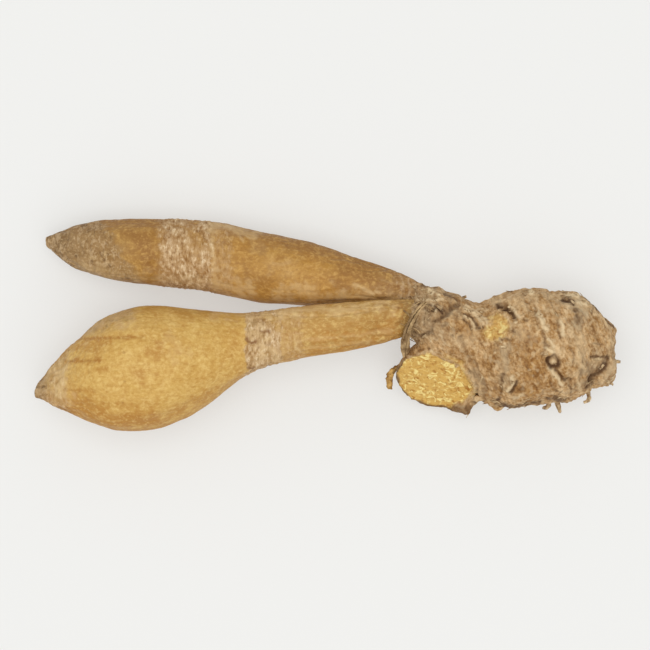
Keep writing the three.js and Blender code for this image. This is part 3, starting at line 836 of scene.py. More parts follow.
# %% Scars
# where a leaf scar crosses the barrel's middle line, how far it stands out, and how pale it is
LEAF_SCARS = [(26.6, 0.20, 0.3), (30.2, 0.24, 0.3), (35.2, 0.26, 0.5), (39.2, 0.28, 0.5), (43.0, 0.22, 0.4)]
LEAF_SCAR_SLANT = -0.45  # x gained per y
BARREL_MIDDLE_Y = -3.5
BUD_SCAR = [(27.3, 0.9), (27.7, 0.1), (27.2, -0.9), (26.2, -1.3)]
BUD_CORE = (26.8, 0.4)
ROOT_SCAR = np.array((36.0, -5.8))
RIND_LAP = [(17.6, -4.6), (19.4, -5.4), (21.8, -6.4)]  # skin that laps over the upper edge of the cut
print("leaf scars:", len(LEAF_SCARS))

# %% [markdown]
# The relief is laid down in turn: broad lumps, the marks, leaf scars, fibres and pocks, and last the bud scar
# and the root scar. On the barrel the fibres run round it with the leaf scars, so their noise is read in a
# frame that is turned with them. The cut face is pressed flat at the end and left a little lower than its
# rim, because flesh shrinks as it dries and skin does not.

# %% Read the rhizome
places, normals = corners_of(rhizome)
across, up, out = cut_coordinates(places)
face_radius = np.hypot(across / (FACE_WIDTH / 2), up / (FACE_WIDTH / 2))
face_radius += 0.05 * lumps(places, 2.4, 3.1) + 0.02 * lumps(places, 0.7, 4.1)
lap = bell(distance_to_line(places[:, :2], RIND_LAP) + 0.25 * lumps(places, 0.8, 5.1), 0.6) * (up > 0)
flesh = (1 - step_up(face_radius, 0.92, 0.985)) * (np.abs(out) < 0.6) * (1 - step_up(lap, 0.3, 0.6))
skin = 1 - flesh
plan = places[:, :2]
upper = upper_side(normals)
turned = places.copy()
slope = math.hypot(1, LEAF_SCAR_SLANT)
turned[:, 0] = (places[:, 0] - LEAF_SCAR_SLANT * places[:, 1]) / slope
turned[:, 1] = (places[:, 1] + LEAF_SCAR_SLANT * places[:, 0]) / slope
on_barrel = step_up(places[:, 0], 24.0, 28.0)
print("corners:", len(places), "on the cut:", int(flesh.sum()))

# %% Rhizome relief
height = 0.28 * lumps(places, (5.5, 5, 5), 6.2) + 0.15 * lumps(places, 2.2, 8.4)
height += 0.10 * lumps(places, 0.9, 15.9)
skew = places[:, 0] - LEAF_SCAR_SLANT * (places[:, 1] - BARREL_MIDDLE_Y)
skew += 0.9 * lumps(places, 4.5, 2.2) + 0.25 * lumps(places, 1.0, 3.2)
mark_height, pale, dark = add_marks(places, normals, NECK_MARKS + BARREL_MARKS + LOW_MARKS)
height += mark_height
for at, rise, wear in LEAF_SCARS:
    past = skew - at
    crest = np.where(past < 0, bell(past, 1.3), bell(past, 0.22)) * on_barrel
    height += rise * crest * (1 - 0.4 * upper)
    pale = np.maximum(pale, wear * bell(past, 0.25) * on_barrel * (1 - upper * 0.7))
    dark = np.maximum(dark, 0.6 * bell(past - 0.45, 0.25) * on_barrel * (1 - upper * 0.7))

rings = lumps(turned, (0.5, 3.0, 3.0), 11.1) * on_barrel
strands = lumps(places, (3.0, 0.5, 0.5), 13.1) * (1 - on_barrel)
height += 0.05 * (rings + strands) + 0.05 * lumps(places, 0.5, 13.7)
pocks = pits(places, 2.6, 0.32, 3.3) * step_up(lumps(places, 3, 5.3), 0.0, 0.4)
height -= 0.14 * pocks
dark = np.maximum(dark, 0.5 * pocks)
print("lumps to pocks, mm:", round(height.min(), 2), "to", round(height.max(), 2))

# %% Bud scar and root scar
bud_waver = 0.25 * np.stack([lumps(places, 1.0, 1.2)] * 2, axis=1)
bud = bell(distance_to_line(plan + bud_waver, BUD_SCAR), 1.45) * upper
core_away = np.linalg.norm(plan - BUD_CORE, axis=1)
bud_core = bell(core_away + 0.2 * lumps(places, 0.8, 8.8), 0.75) * upper
height -= 0.26 * bud
bud_flesh = 0.76 * step_up(bud + 0.10 * lumps(places, 0.7, 9.9), 0.26, 0.80)
dark = np.maximum(dark * (1 - 0.8 * bud_flesh), 0.12 * bell(core_away, 0.5))
ring = np.linalg.norm(plan - ROOT_SCAR, axis=1)
open_side = step_up((plan - ROOT_SCAR) @ np.array([0.4, 0.9]), 0.0, 0.8)
scar_ring = bell(ring - 0.92 + 0.12 * lumps(places, 0.8, 21.1), 0.30) * upper * (1 - 0.5 * open_side)
height += upper * (0.14 * bell(ring, 0.5) + 0.12 * bell(ring - 1.35, 0.3)) - 0.34 * scar_ring
dark = np.maximum(dark, np.minimum(1.5 * scar_ring, 1))
pale = np.maximum(pale, upper * 0.8 * bell(ring, 0.5))
print("rhizome relief, mm:", round(height.min(), 2), "to", round(height.max(), 2))

# %% [markdown]
# In the flesh, a faint ring parts the core from the rind. The rind shows as a dark rim on the lower left and
# as a golden one on the right. Below the cut, at the heel of the shoot, the skin is dark and greyish.

# %% Cut flesh
inner_ring = bell(face_radius - 0.62, 0.04)
flesh_height = -0.20 - 0.03 * inner_ring + 0.03 * lumps(places, 0.6, 6.6)
rim = bell(face_radius - 1.0, 0.045) * (np.abs(out) < 0.9)
lower_left = step_up(-0.8 * up / 6 - 0.6 * across / 6, -0.1, 0.4)
moved = places + normals * (height * skin * (1 - 0.7 * rim) + 0.10 * rim)[:, None]
pressed = places - np.outer(out - flesh_height, np.array(SHOOT_FACING))
move_corners(rhizome, moved * skin[:, None] + pressed * flesh[:, None])
print("corners on the rim:", int((rim > 0.5).sum()))

# %% Rhizome masks
low_rim = bell(face_radius - 0.97, 0.055) * (np.abs(out) < 1.2) * (0.15 + 0.85 * lower_left)
scuffs = 0.4 * step_up(lumps(places, 0.7, 17.7) + 0.5 * rings, 0.3, 1.1)
paint(rhizome, "pale", np.maximum.reduce([pale, scuffs, add_patches(places, normals, PALE_PATCHES)]) * skin)
heel = step_up(places[:, 0], 18.6, 20.2) * (1 - step_up(places[:, 0], 24.0, 25.2))
heel *= 1 - step_up(places[:, 1], -13.6, -12.2)
paint(rhizome, "dark", np.maximum(np.maximum(dark, 0.5 * heel) * skin, 0.9 * low_rim))
paint(rhizome, "brown", np.maximum(add_patches(places, normals, BROWN_PATCHES), 0.6 * heel) * skin)
grey_neck = 0.6 * (1 - step_up(places[:, 0] + 0.4 * (places[:, 1] - 2), 17.0, 20.5))
grey_neck *= step_up(places[:, 1], -3.4, -1.6)
greyed = np.maximum.reduce([grey_neck, 0.4 * heel, add_patches(places, normals, GREY_PATCHES)])
paint(rhizome, "grey", greyed * skin)
golden_rim = 0.55 * bell(face_radius - 1.03, 0.09) * (np.abs(out) < 1.6) * step_up(across, -1.0, 2.0)
golden_rim *= step_up(places[:, 1], -12.4, -11.0)
paint(rhizome, "flesh", np.maximum.reduce([flesh, bud_flesh, golden_rim]))
paint(rhizome, "core", np.maximum(0.4 * inner_ring * flesh, bud_core * bud_flesh))
smooth_shaded(rhizome)
print("masks:", [a.name for a in rhizome.data.attributes if a.data_type == "FLOAT"])

# %% [markdown]
# ## Rootlets
#
# The thin feeding roots have dried to crooked threads. A thread is a smooth curve with a round bevel, thin
# at the broken end. It is turned into a mesh, and roughened like the rest. Some are bundles of two or more
# strands that dried together, so a bundle lays its strands a little apart and lets them wind.

# %% Threads
def thread(name, points, thickness, roughness=0.05, sides=3, seed=0.0):
    """A dried thread through points in millimetres, with a thickness in millimetres at each."""
    deselect()
    curve = bpy.data.curves.new(name, "CURVE")
    curve.dimensions = "3D"
    curve.bevel_depth = MM / 2
    curve.bevel_resolution = sides
    curve.resolution_u = 10
    curve.use_fill_caps = True
    spline = curve.splines.new("NURBS")
    spline.points.add(len(points) - 1)
    for corner, place, width in zip(spline.points, points, thickness):
        corner.co = (*(Vector(place) * MM), 1)
        corner.radius = width
    spline.order_u = min(4, len(points))
    spline.use_endpoint_u = True
    piece = bpy.data.objects.new(name, curve)
    bpy.context.scene.collection.objects.link(piece)
    piece.select_set(True)
    bpy.context.view_layer.objects.active = piece
    bpy.ops.object.convert(target="MESH")
    piece = bpy.context.object
    places, normals = corners_of(piece)
    height = roughness * (lumps(places, 0.5, seed) + 0.6 * lumps(places, 0.22, seed + 4))
    move_corners(piece, places + normals * height[:, None])
    bpy.ops.object.shade_smooth()
    return piece


def bundle(name, stations, strands, apart, seed):
    """Strands of one rootlet side by side. stations are [x, y, z, thickness]."""
    winding = random.Random(seed)
    made = []
    for strand in range(strands):
        turn = math.tau * strand / strands
        route = []
        for x, y, z, width in stations:
            turn += winding.uniform(0.2, 0.9)
            reach = apart * width * winding.uniform(0.7, 1.2)
            aside, above = math.cos(turn) * reach, math.sin(turn) * reach
            route.append((x + aside, y + above * 0.6, z + above))
        share = 1.0 if strands == 1 else 0.9 / math.sqrt(strands)
        made.append(thread(name, route, [station[3] * share for station in stations], seed=seed + strand))
    return made[0] if strands == 1 else join(name, made)


# stations of [x, y, z, thickness], the number of strands, and how far apart they lie
ROOTLETS = {
    "rootlet_lower_hook": ([[35.2, -10.6, 6.4, 1.0], [35.9, -11.8, 6.3, 0.9], [36.2, -12.8, 6.4, 0.8],
                            [35.6, -13.4, 6.5, 0.7], [35.0, -13.3, 6.6, 0.5]], 1, 0.0),
    "rootlet_lower_stub": ([[37.0, -10.0, 6.9, 1.2], [37.3, -11.8, 6.7, 1.2], [37.4, -13.0, 6.7, 1.1],
                            [37.9, -14.0, 6.9, 0.6]], 2, 0.25),
    "rootlet_lower_curl": ([[40.8, -8.8, 7.2, 0.9], [41.9, -10.4, 7.2, 0.8], [42.6, -11.5, 7.4, 0.7],
                            [42.3, -12.2, 7.6, 0.65], [41.5, -12.4, 7.7, 0.5]], 1, 0.0),
    "rootlet_end_upper": ([[44.4, -5.6, 9.6, 0.8], [45.6, -5.7, 9.7, 0.7], [46.4, -5.8, 9.8, 0.7],
                           [47.2, -5.9, 9.9, 0.5]], 1, 0.0),
    "rootlet_end_lower": ([[43.4, -7.5, 6.8, 0.9], [44.4, -8.3, 6.7, 0.8], [45.4, -9.0, 6.7, 0.7],
                           [46.3, -9.6, 6.9, 0.4]], 2, 0.22),
    "rootlet_under_shoot": ([[24.4, -8.2, 2.8, 1.0], [25.4, -10.8, 2.0, 0.85], [26.8, -12.4, 1.7, 0.7],
                             [29.2, -13.0, 1.4, 0.45]], 1, 0.0),
    "rootlet_far_side": ([[29.4, 1.2, 3.6, 1.0], [30.6, 4.0, 2.4, 0.85], [32.8, 5.2, 1.7, 0.7],
                          [35.4, 4.4, 1.2, 0.45]], 1, 0.0),
    "rootlet_collar": ([[15.8, 3.4, 13.8, 0.8], [14.2, 1.8, 14.6, 0.9], [13.2, -0.4, 14.2, 1.0],
                        [12.8, -2.2, 12.8, 1.4], [12.6, -3.8, 11.0, 1.6], [12.9, -5.2, 9.6, 1.0]], 6, 0.42),
    "rootlet_neck_tip": ([[20.2, 2.0, 7.6, 0.9], [21.2, 3.6, 6.6, 0.75], [22.0, 4.3, 6.2, 0.6],
                          [22.7, 4.6, 6.0, 0.4]], 1, 0.0),
}
threads = {}
for seed, (name, (stations, strands, apart)) in enumerate(ROOTLETS.items()):
    threads[name] = bundle(name.replace("rootlet", "dried_rootlet"), stations, strands, apart, seed * 7)
print("rootlets:", len(threads))

# %% [markdown]
# ### Collar fibres
#
# Where the fingers leave the neck, old leaf bases have rotted down to a collar of fibres. Each fibre is a
# hair-thin thread that lies close on the neck. Their routes are drawn from a seeded random source, so that
# the collar is the same on every run.

# %% Collar fibres
FIBRES = 26
FIBRE_CORNERS = 6
FIBRE_SEED = 7
COLLAR = [[11.6, 0.9, 10.4, 6.2], [14.4, 1.1, 9.9, 7.6], [16.4, 0.8, 9.5, 10.4], [19.4, -0.2, 9.0, 11.8]]
dice = random.Random(FIBRE_SEED)


def on_collar(share, turn, lift):
    """A point on the neck's skin: share along it, turn round it in degrees from straight up."""
    x, y, z, girth = station_at(COLLAR, share)
    angle = math.radians(turn)
    reach = girth / 2 + lift
    return (x, y - math.sin(angle) * reach, z + math.cos(angle) * reach * 1.1)


fibres_made = []
for i in range(FIBRES):
    start_share = dice.uniform(0.0, 0.6)
    start_turn = dice.uniform(-110, 120)
    drift = dice.uniform(-0.1, 0.4)
    sweep = dice.choice([-1, 1]) * dice.uniform(10, 60)
    lift = dice.uniform(-0.05, 0.15)
    route = []
    for k in range(FIBRE_CORNERS):
        share = min(max(start_share + drift * k / FIBRE_CORNERS, 0), 1)
        rise = lift + (0.45 * dice.random() if k == FIBRE_CORNERS - 1 else dice.uniform(0, 0.12))
        turn = start_turn + sweep * k / FIBRE_CORNERS + dice.uniform(-3, 3)
        route.append(on_collar(share, turn, rise))
    width = dice.uniform(0.10, 0.24)
    fibres_made.append(thread("fibre", route, [width * (1 - 0.1 * k) for k in range(FIBRE_CORNERS)],
                              roughness=0.02, sides=1, seed=i))
collar = join("collar_fibres", fibres_made)
print("collar faces:", len(collar.data.polygons))

# %% [markdown]
# ## Flakes of dead skin
#
# Scraps of old leaf base still cling to the rhizome, along the leaf scars and round the collar. A flake is a
# small plane, divided, pinched to a torn outline and curled. No two are torn alike, so copies of one would
# show. The same few steps make each one afresh, with its own size, outline and curl.

# %% One flake
def flake(name, length, width, curl, thickness, seed):
    """A torn scrap of skin in millimetres. It lies along x from its root at the origin, and z is up."""
    deselect()
    bpy.ops.mesh.primitive_grid_add(x_subdivisions=6, y_subdivisions=3, size=1, location=(0.5, 0, 0))
    piece = bpy.context.object
    piece.name = name
    bpy.ops.object.transform_apply(location=True, rotation=True, scale=True)
    corners = rows_of(piece.data.vertices, "co")
    share = corners[:, 0].copy()
    ragged = 1 + 0.35 * lumps(corners * 2.3, 1.0, seed)
    taper = (1 - 0.65 * share**1.5) * ragged
    corners[:, 0] = share * length * (1 + 0.15 * lumps(corners * 3, 1.0, seed + 2))
    corners[:, 1] *= width * taper
    corners[:, 2] = curl * share**2 * length + 0.3 * corners[:, 1] ** 2 / width
    corners[:, 2] += 0.06 * width * lumps(corners, width * 0.6, seed + 5)
    piece.data.vertices.foreach_set("co", (corners * MM).astype(np.float32).ravel())
    piece.data.update()
    apply_modifier(piece, "SOLIDIFY", thickness=thickness * MM, offset=0.0)
    return piece


one_flake = flake("scrap", 1.0, 0.7, 0.3, 0.1, 1.0)
print("faces in one flake:", len(one_flake.data.polygons))
bpy.data.objects.remove(one_flake)

# %% [markdown]
# The flakes sit where the relief says that skin is torn: on pale crests and beside dark cracks. Corners of
# the rhizome are drawn with those odds, and each flake is set on its corner and lies along the skin, so that
# only its curl lifts it.

# %% Scatter the flakes
FLAKES = 170
SEATING = 0.03  # how far a flake's root sinks into the skin, in millimetres
SPREAD_SEED = 11
spread = np.random.default_rng(SPREAD_SEED)
skin_places, skin_normals = corners_of(rhizome)
odds = 0.04 + 1.4 * pale**2 + 0.6 * dark + 0.5 * grey_neck
odds = odds * (flesh < 0.02) * (bud_flesh < 0.1) * (face_radius > 1.06)
chosen = spread.choice(len(skin_places), FLAKES, replace=False, p=odds / odds.sum())
scraps = []
for i, corner in enumerate(chosen):
    scrap = flake("scrap", spread.uniform(0.4, 1.2), spread.uniform(0.2, 0.6), spread.uniform(-0.1, 0.3),
                  spread.uniform(0.04, 0.08), float(i))
    normal = Vector(skin_normals[corner])
    aim = Vector((spread.uniform(0.2, 1.0), spread.uniform(-1, 1), 0))
    along = aim.cross(normal).cross(normal).normalized()
    side = normal.cross(along)
    turn = Matrix((along, side, normal)).transposed().to_4x4()
    seat = Matrix.Translation(Vector(skin_places[corner]) * MM - normal * SEATING * MM)
    scrap.data.transform(seat @ turn)
    scraps.append(scrap)
scurf = join("skin_scraps", scraps)
places, normals = corners_of(scurf)
move_corners(scurf, places)
bpy.ops.object.shade_smooth()
print("scrap faces:", len(scurf.data.polygons))

# %% [markdown]
# One larger flake hangs loose at the rim of the cut: a curled strip of golden skin that dried as it tore.

# %% Torn flake
STRIP_LINE = [(13.4, -6.2, 6.5), (11.6, -6.5, 6.8), (10.6, -7.4, 6.9), (10.2, -8.6, 7.0), (10.4, -10.2, 7.4)]
strips = [
    thread("torn_strip", STRIP_LINE, [0.4, 0.5, 0.8, 1.2, 0.8], roughness=0.12, sides=4, seed=2.0),
    thread("torn_edge", [(x + 0.3, y - 0.1, z - 0.2) for x, y, z in STRIP_LINE], [0.3, 0.3, 0.4, 0.4, 0.2],
           roughness=0.05, sides=2, seed=5.0),
]
torn = join("torn_skin_strip", strips)
print("torn strip faces:", len(torn.data.polygons))

# %% [markdown]
# ## Finishes
#
# Everything on this root is one kind of stuff, plant skin, in several states. So the effects are built once
# as node groups: mottle, grain and specks. Each takes a place on the piece and a size in millimetres, and
# puts out masks. The place comes from Object coordinates, which stay with the piece.
#
# A short helper adds one node at a time. Each of its inputs is a plain value, or a socket to link from.

# %% Node helpers
def add(tree, kind, inputs=None, **settings):
    """Adds a node. inputs maps a socket's name or number to a value or to another node's output."""
    made = tree.nodes.new("ShaderNode" + kind)
    for name, value in settings.items():
        setattr(made, name, value)
    for key, value in (inputs or {}).items():
        if isinstance(value, bpy.types.NodeSocket):
            tree.links.new(value, made.inputs[key])
        else:
            made.inputs[key].default_value = value
    return made


def math_node(tree, operation, first, second):
    return add(tree, "Math", {0: first, 1: second}, operation=operation).outputs[0]


def times(tree, first, second):
    return math_node(tree, "MULTIPLY", first, second)


def plus(tree, first, second):
    return math_node(tree, "ADD", first, second)


def noise_value(tree, place, scale, detail, **more):
    """The value of a noise texture. more sets further inputs of its node."""
    return add(tree, "TexNoise", {"Vector": place, "Scale": scale, "Detail": detail, **more}).outputs["Fac"]


def spread_out(tree, value, low, high):
    """0 at low, 1 at high, and held there beyond."""
    return add(tree, "MapRange", {"Value": value, "From Min": low, "From Max": high}).outputs["Result"]


def stain(tree, tone, mask, strength, other, mode="MIX"):
    """Mixes another tone into a tone, as far as a mask and a strength allow."""
    share = times(tree, mask, strength)
    made = add(tree, "Mix", data_type="RGBA", blend_type=mode)
    for socket, value in zip((made.inputs[0], made.inputs[6], made.inputs[7]), (share, tone, other)):
        if isinstance(value, bpy.types.NodeSocket):
            tree.links.new(value, socket)
        else:
            socket.default_value = value
    return made.outputs[2]


def layered(tree, tone, layers):
    """Stains a tone with layer after layer: a mask, its strength, the other tone and perhaps a mode."""
    for layer in layers:
        tone = stain(tree, tone, *layer)
    return tone


def new_group(name, inputs, outputs):
    """An empty node group. inputs maps names to start values, and a tuple makes a vector socket."""
    group = bpy.data.node_groups.new(name, "ShaderNodeTree")
    for label, value in inputs.items():
        kind = "NodeSocketVector" if isinstance(value, tuple) else "NodeSocketFloat"
        socket = group.interface.new_socket(label, in_out="INPUT", socket_type=kind)
        socket.default_value = value
    for label in outputs:
        group.interface.new_socket(label, in_out="OUTPUT", socket_type="NodeSocketFloat")
    return group, group.nodes.new("NodeGroupInput").outputs, group.nodes.new("NodeGroupOutput").inputs


def use_group(tree, group, place, **inputs):
    """The outputs of a group that is placed in a tree, with its own values."""
    return add(tree, "Group", {"Place": place, **inputs}, node_tree=group).outputs


def scaled_down(tree, place, size):
    """The place divided by one size, so that a pattern made for size 1 grows to that size."""
    scaled = add(tree, "VectorMath", {0: place}, operation="SCALE")
    tree.links.new(math_node(tree, "DIVIDE", 1.0, size), scaled.inputs["Scale"])
    return scaled.outputs[0]


print("node helpers ready")

# %% [markdown]
# ### The shared effects
#
# Mottle is two sizes of cloudy noise. Grain is one finer noise whose size may differ along x, y and z, so
# the same group gives freckles, strands and dashes, with its light side, its dark side and its height. Its
# curls are the bright side of a calmer noise that is drawn out of shape, so they bend like worm tracks.
# Specks keep only some cells of a Voronoi pattern, so that pores don't look like a grid.

# %% Shared effects
mottle, given, put = new_group("mottle", {"Place": (0, 0, 0), "Size": 3.0}, ["Broad", "Fine"])
drawn = scaled_down(mottle, given["Place"], given["Size"])
for label, scale, low, high in (("Broad", 1.0, 0.36, 0.64), ("Fine", 5.2, 0.34, 0.66)):
    cloud = noise_value(mottle, drawn, scale, 4.0, Roughness=0.6)
    mottle.links.new(spread_out(mottle, cloud, low, high), put[label])

grain, given, put = new_group(
    "grain", {"Place": (0, 0, 0), "Size": (0.5, 0.5, 0.5)}, ["Light", "Dark", "Height", "Curl"])
drawn = add(grain, "VectorMath", {0: given["Place"], 1: given["Size"]}, operation="DIVIDE").outputs[0]
fine = noise_value(grain, drawn, 1.0, 3.0, Roughness=0.65)
grain.links.new(spread_out(grain, fine, 0.52, 0.68), put["Light"])
grain.links.new(spread_out(grain, fine, 0.48, 0.32), put["Dark"])
grain.links.new(fine, put["Height"])
calm = noise_value(grain, drawn, 0.9, 1.5, Distortion=1.3)
grain.links.new(spread_out(grain, calm, 0.52, 0.64), put["Curl"])

specks, given, put = new_group(
    "specks", {"Place": (0, 0, 0), "Spacing": 2.0, "Radius": 0.3, "Share": 0.5}, ["Mask"])
drawn = scaled_down(specks, given["Place"], given["Spacing"])
cells = add(specks, "TexVoronoi", {"Vector": drawn, "Scale": 1.0})
reach = math_node(specks, "DIVIDE", given["Radius"], given["Spacing"])
spot = math_node(specks, "SUBTRACT", 1.0, math_node(specks, "DIVIDE", cells.outputs["Distance"], reach))
chance = add(specks, "SeparateColor", {0: cells.outputs["Color"]}).outputs[0]
kept = math_node(specks, "LESS_THAN", chance, given["Share"])
shown = add(specks, "Math", {0: spot, 1: kept}, operation="MULTIPLY", use_clamp=True).outputs[0]
specks.links.new(spread_out(specks, shown, 0.05, 0.6), put["Mask"])
print("groups:", [group.name for group in bpy.data.node_groups])

# %% [markdown]
# ### Finger skin
#
# A finger's colour changes along its length: grey and papery at the tip, golden where it is full, brown
# where it nears the neck. A colour ramp over x holds those colours, and noise pushes x about a little so
# that the borders wander. Freckles, strands, pores, scurf and the painted patches then break the colour up.

# %% Colours and small helpers
def lit(red, green, blue):
    """A colour as it should look on a screen, 0 to 255, as the light values that shaders use."""
    shares = [channel / 255 for channel in (red, green, blue)]
    light = [s / 12.92 if s <= 0.04045 else ((s + 0.055) / 1.055) ** 2.4 for s in shares]
    return (*light, 1)


BROWN = lit(146, 102, 48)
OCHRE = lit(174, 120, 46)
DARK_MARK_BROWN = lit(70, 40, 16)
GREY_BLOOM = lit(146, 128, 102)


def new_material(name):
    material = bpy.data.materials.new(name)
    material.use_nodes = True
    tree = material.node_tree
    shader = tree.nodes["Principled BSDF"]
    place = add(tree, "VectorMath", {0: add(tree, "TexCoord").outputs["Object"], "Scale": 1 / MM},
                operation="SCALE").outputs[0]
    return material, tree, shader, place


def painted(tree, name):
    return add(tree, "Attribute", attribute_name=name).outputs["Fac"]


def ramp_along(tree, place, stops, wander):
    """A colour ramp over x in millimetres, with its borders pushed about by wander millimetres."""
    low, high = stops[0][0], stops[-1][0]
    cloud = noise_value(tree, place, 0.55, 5.0, Roughness=0.6)
    push = times(tree, math_node(tree, "SUBTRACT", cloud, 0.5), 2 * wander)
    x = plus(tree, add(tree, "SeparateXYZ", {0: place}).outputs[0], push)
    ramp = add(tree, "ValToRGB", {0: spread_out(tree, x, low, high)})
    elements = ramp.color_ramp.elements
    while len(elements) < len(stops):
        elements.new(0.5)
    for element, (at, tone) in zip(elements, stops):
        element.position = (at - low) / (high - low)
        element.color = tone
    return ramp.outputs["Color"]


def bump(tree, shader, height, depth):
    """Feeds a height into the shader's normal. depth is how far its full range stands out, in mm."""
    made = add(tree, "Bump", {"Strength": 1.0, "Distance": depth * MM, "Height": height})
    tree.links.new(made.outputs[0], shader.inputs["Normal"])


def coat(piece, finish):
    """Gives a piece one finish, in place of any that its parts brought along."""
    piece.data.materials.clear()
    piece.data.materials.append(finish)


print("colour helpers ready")

# %% Finger skin
def finger_skin(name, stops, light_fleck, dark_fleck):
    material, tree, shader, place = new_material(name)
    cloud = use_group(tree, mottle, place, Size=3.6)
    flaky = use_group(tree, mottle, place, Size=1.8)
    freckle = use_group(tree, grain, place, Size=(0.62, 0.52, 0.52))
    fleck = use_group(tree, grain, place, Size=(1.2, 1.0, 1.0))
    strand = use_group(tree, grain, place, Size=(5.0, 0.55, 0.55))
    dash = use_group(tree, grain, place, Size=(0.55, 1.2, 1.2))
    dots = use_group(tree, specks, place, Spacing=1.7, Radius=0.34, Share=0.35)["Mask"]
    dark_dots = use_group(tree, specks, place, Spacing=2.9, Radius=0.36, Share=0.35)["Mask"]
    scurf, tip = painted(tree, "scurf"), painted(tree, "tip")
    bark = layered(tree, lit(200, 168, 126), [
        (flaky["Broad"], 1.0, lit(156, 116, 70)),
        (dash["Dark"], 0.9, lit(120, 82, 42)),
        (dash["Curl"], 0.35, lit(228, 202, 164)),
        (dash["Light"], 0.9, lit(236, 214, 176)),
    ])
    dull = stain(tree, lit(164, 132, 88), flaky["Broad"], 1.0, lit(110, 82, 50))
    tone = layered(tree, ramp_along(tree, place, stops, 1.2), [
        (cloud["Broad"], 0.55, (0.80, 0.66, 0.44, 1), "MULTIPLY"),
        (cloud["Fine"], 0.22, (0.78, 0.68, 0.50, 1), "MULTIPLY"),
        (flaky["Broad"], 0.25, light_fleck),
        (strand["Dark"], 0.42, (0.70, 0.56, 0.36, 1), "MULTIPLY"),
        (painted(tree, "brown"), 0.9, dark_fleck),
        (times(tree, fleck["Curl"], flaky["Broad"]), 0.45, light_fleck),
        (fleck["Dark"], 0.34, dark_fleck),
        (freckle["Light"], 0.38, light_fleck),
        (freckle["Dark"], 0.40, dark_fleck),
        (dots, 0.45, light_fleck),
        (dark_dots, 0.40, BROWN),
        (scurf, 0.85, bark),
        (tip, 0.75, dull),
        (times(tree, tip, freckle["Light"]), 0.6, lit(200, 172, 132)),
        (times(tree, tip, dash["Dark"]), 0.7, lit(88, 64, 38)),
        (times(tree, tip, dash["Curl"]), 0.5, lit(206, 178, 138)),
        (painted(tree, "pale"), 0.62, lit(222, 192, 140)),
        (painted(tree, "dark"), 0.85, lit(116, 68, 20)),
    ])
    tree.links.new(tone, shader.inputs["Base Color"])
    rough = plus(tree, 0.52, times(tree, cloud["Broad"], 0.12))
    tree.links.new(plus(tree, rough, times(tree, scurf, 0.22)), shader.inputs["Roughness"])
    shader.inputs["Specular IOR Level"].default_value = 0.3
    relief = plus(tree, freckle["Height"], times(tree, strand["Height"], 0.6))
    rough_band = times(tree, dash["Height"], times(tree, scurf, 1.5))
    bump(tree, shader, plus(tree, relief, rough_band), 0.10)
    return material


BULB_TONES = [
    (-47.0, lit(150, 120, 84)), (-44.0, lit(200, 168, 114)), (-39.5, lit(210, 170, 92)),
    (-14.0, lit(206, 166, 88)), (-6.0, lit(186, 143, 76)), (6.0, lit(176, 132, 62)),
    (11.0, lit(164, 120, 58)), (14.0, lit(140, 106, 64)),
]
SLIM_TONES = [
    (-45.0, lit(116, 92, 66)), (-40.5, lit(152, 122, 82)), (-34.0, lit(164, 126, 68)),
    (-28.0, lit(162, 118, 50)), (-17.0, lit(178, 132, 60)), (0.0, lit(178, 131, 58)),
    (8.0, lit(160, 118, 64)), (15.0, lit(128, 98, 62)),
]
coat(bulb, finger_skin("bulb_finger_skin", BULB_TONES, lit(232, 200, 126), OCHRE))
coat(slim, finger_skin("slim_root_skin", SLIM_TONES, lit(212, 170, 98), BROWN))
print("finger skins:", [m.name for m in (bulb.data.materials[0], slim.data.materials[0])])

# %% [markdown]
# ### Rhizome skin and cut flesh
#
# The rhizome's skin is duller and scurfier. Its tan is mottled, its crests are worn pale, its cracks are
# dark, and a grey bloom lies on the old leaf bases. The dark mask also holds painted shadow beside a few
# steps and gaps, and the pale mask holds painted light at one notch. All of these read the masks that the
# sculpting left.
# The fibres' grain is turned to run with the leaf scars. The cut flesh is the same material, mixed in by its
# own mask: yellow and moist, with paler vessels and darker veins.

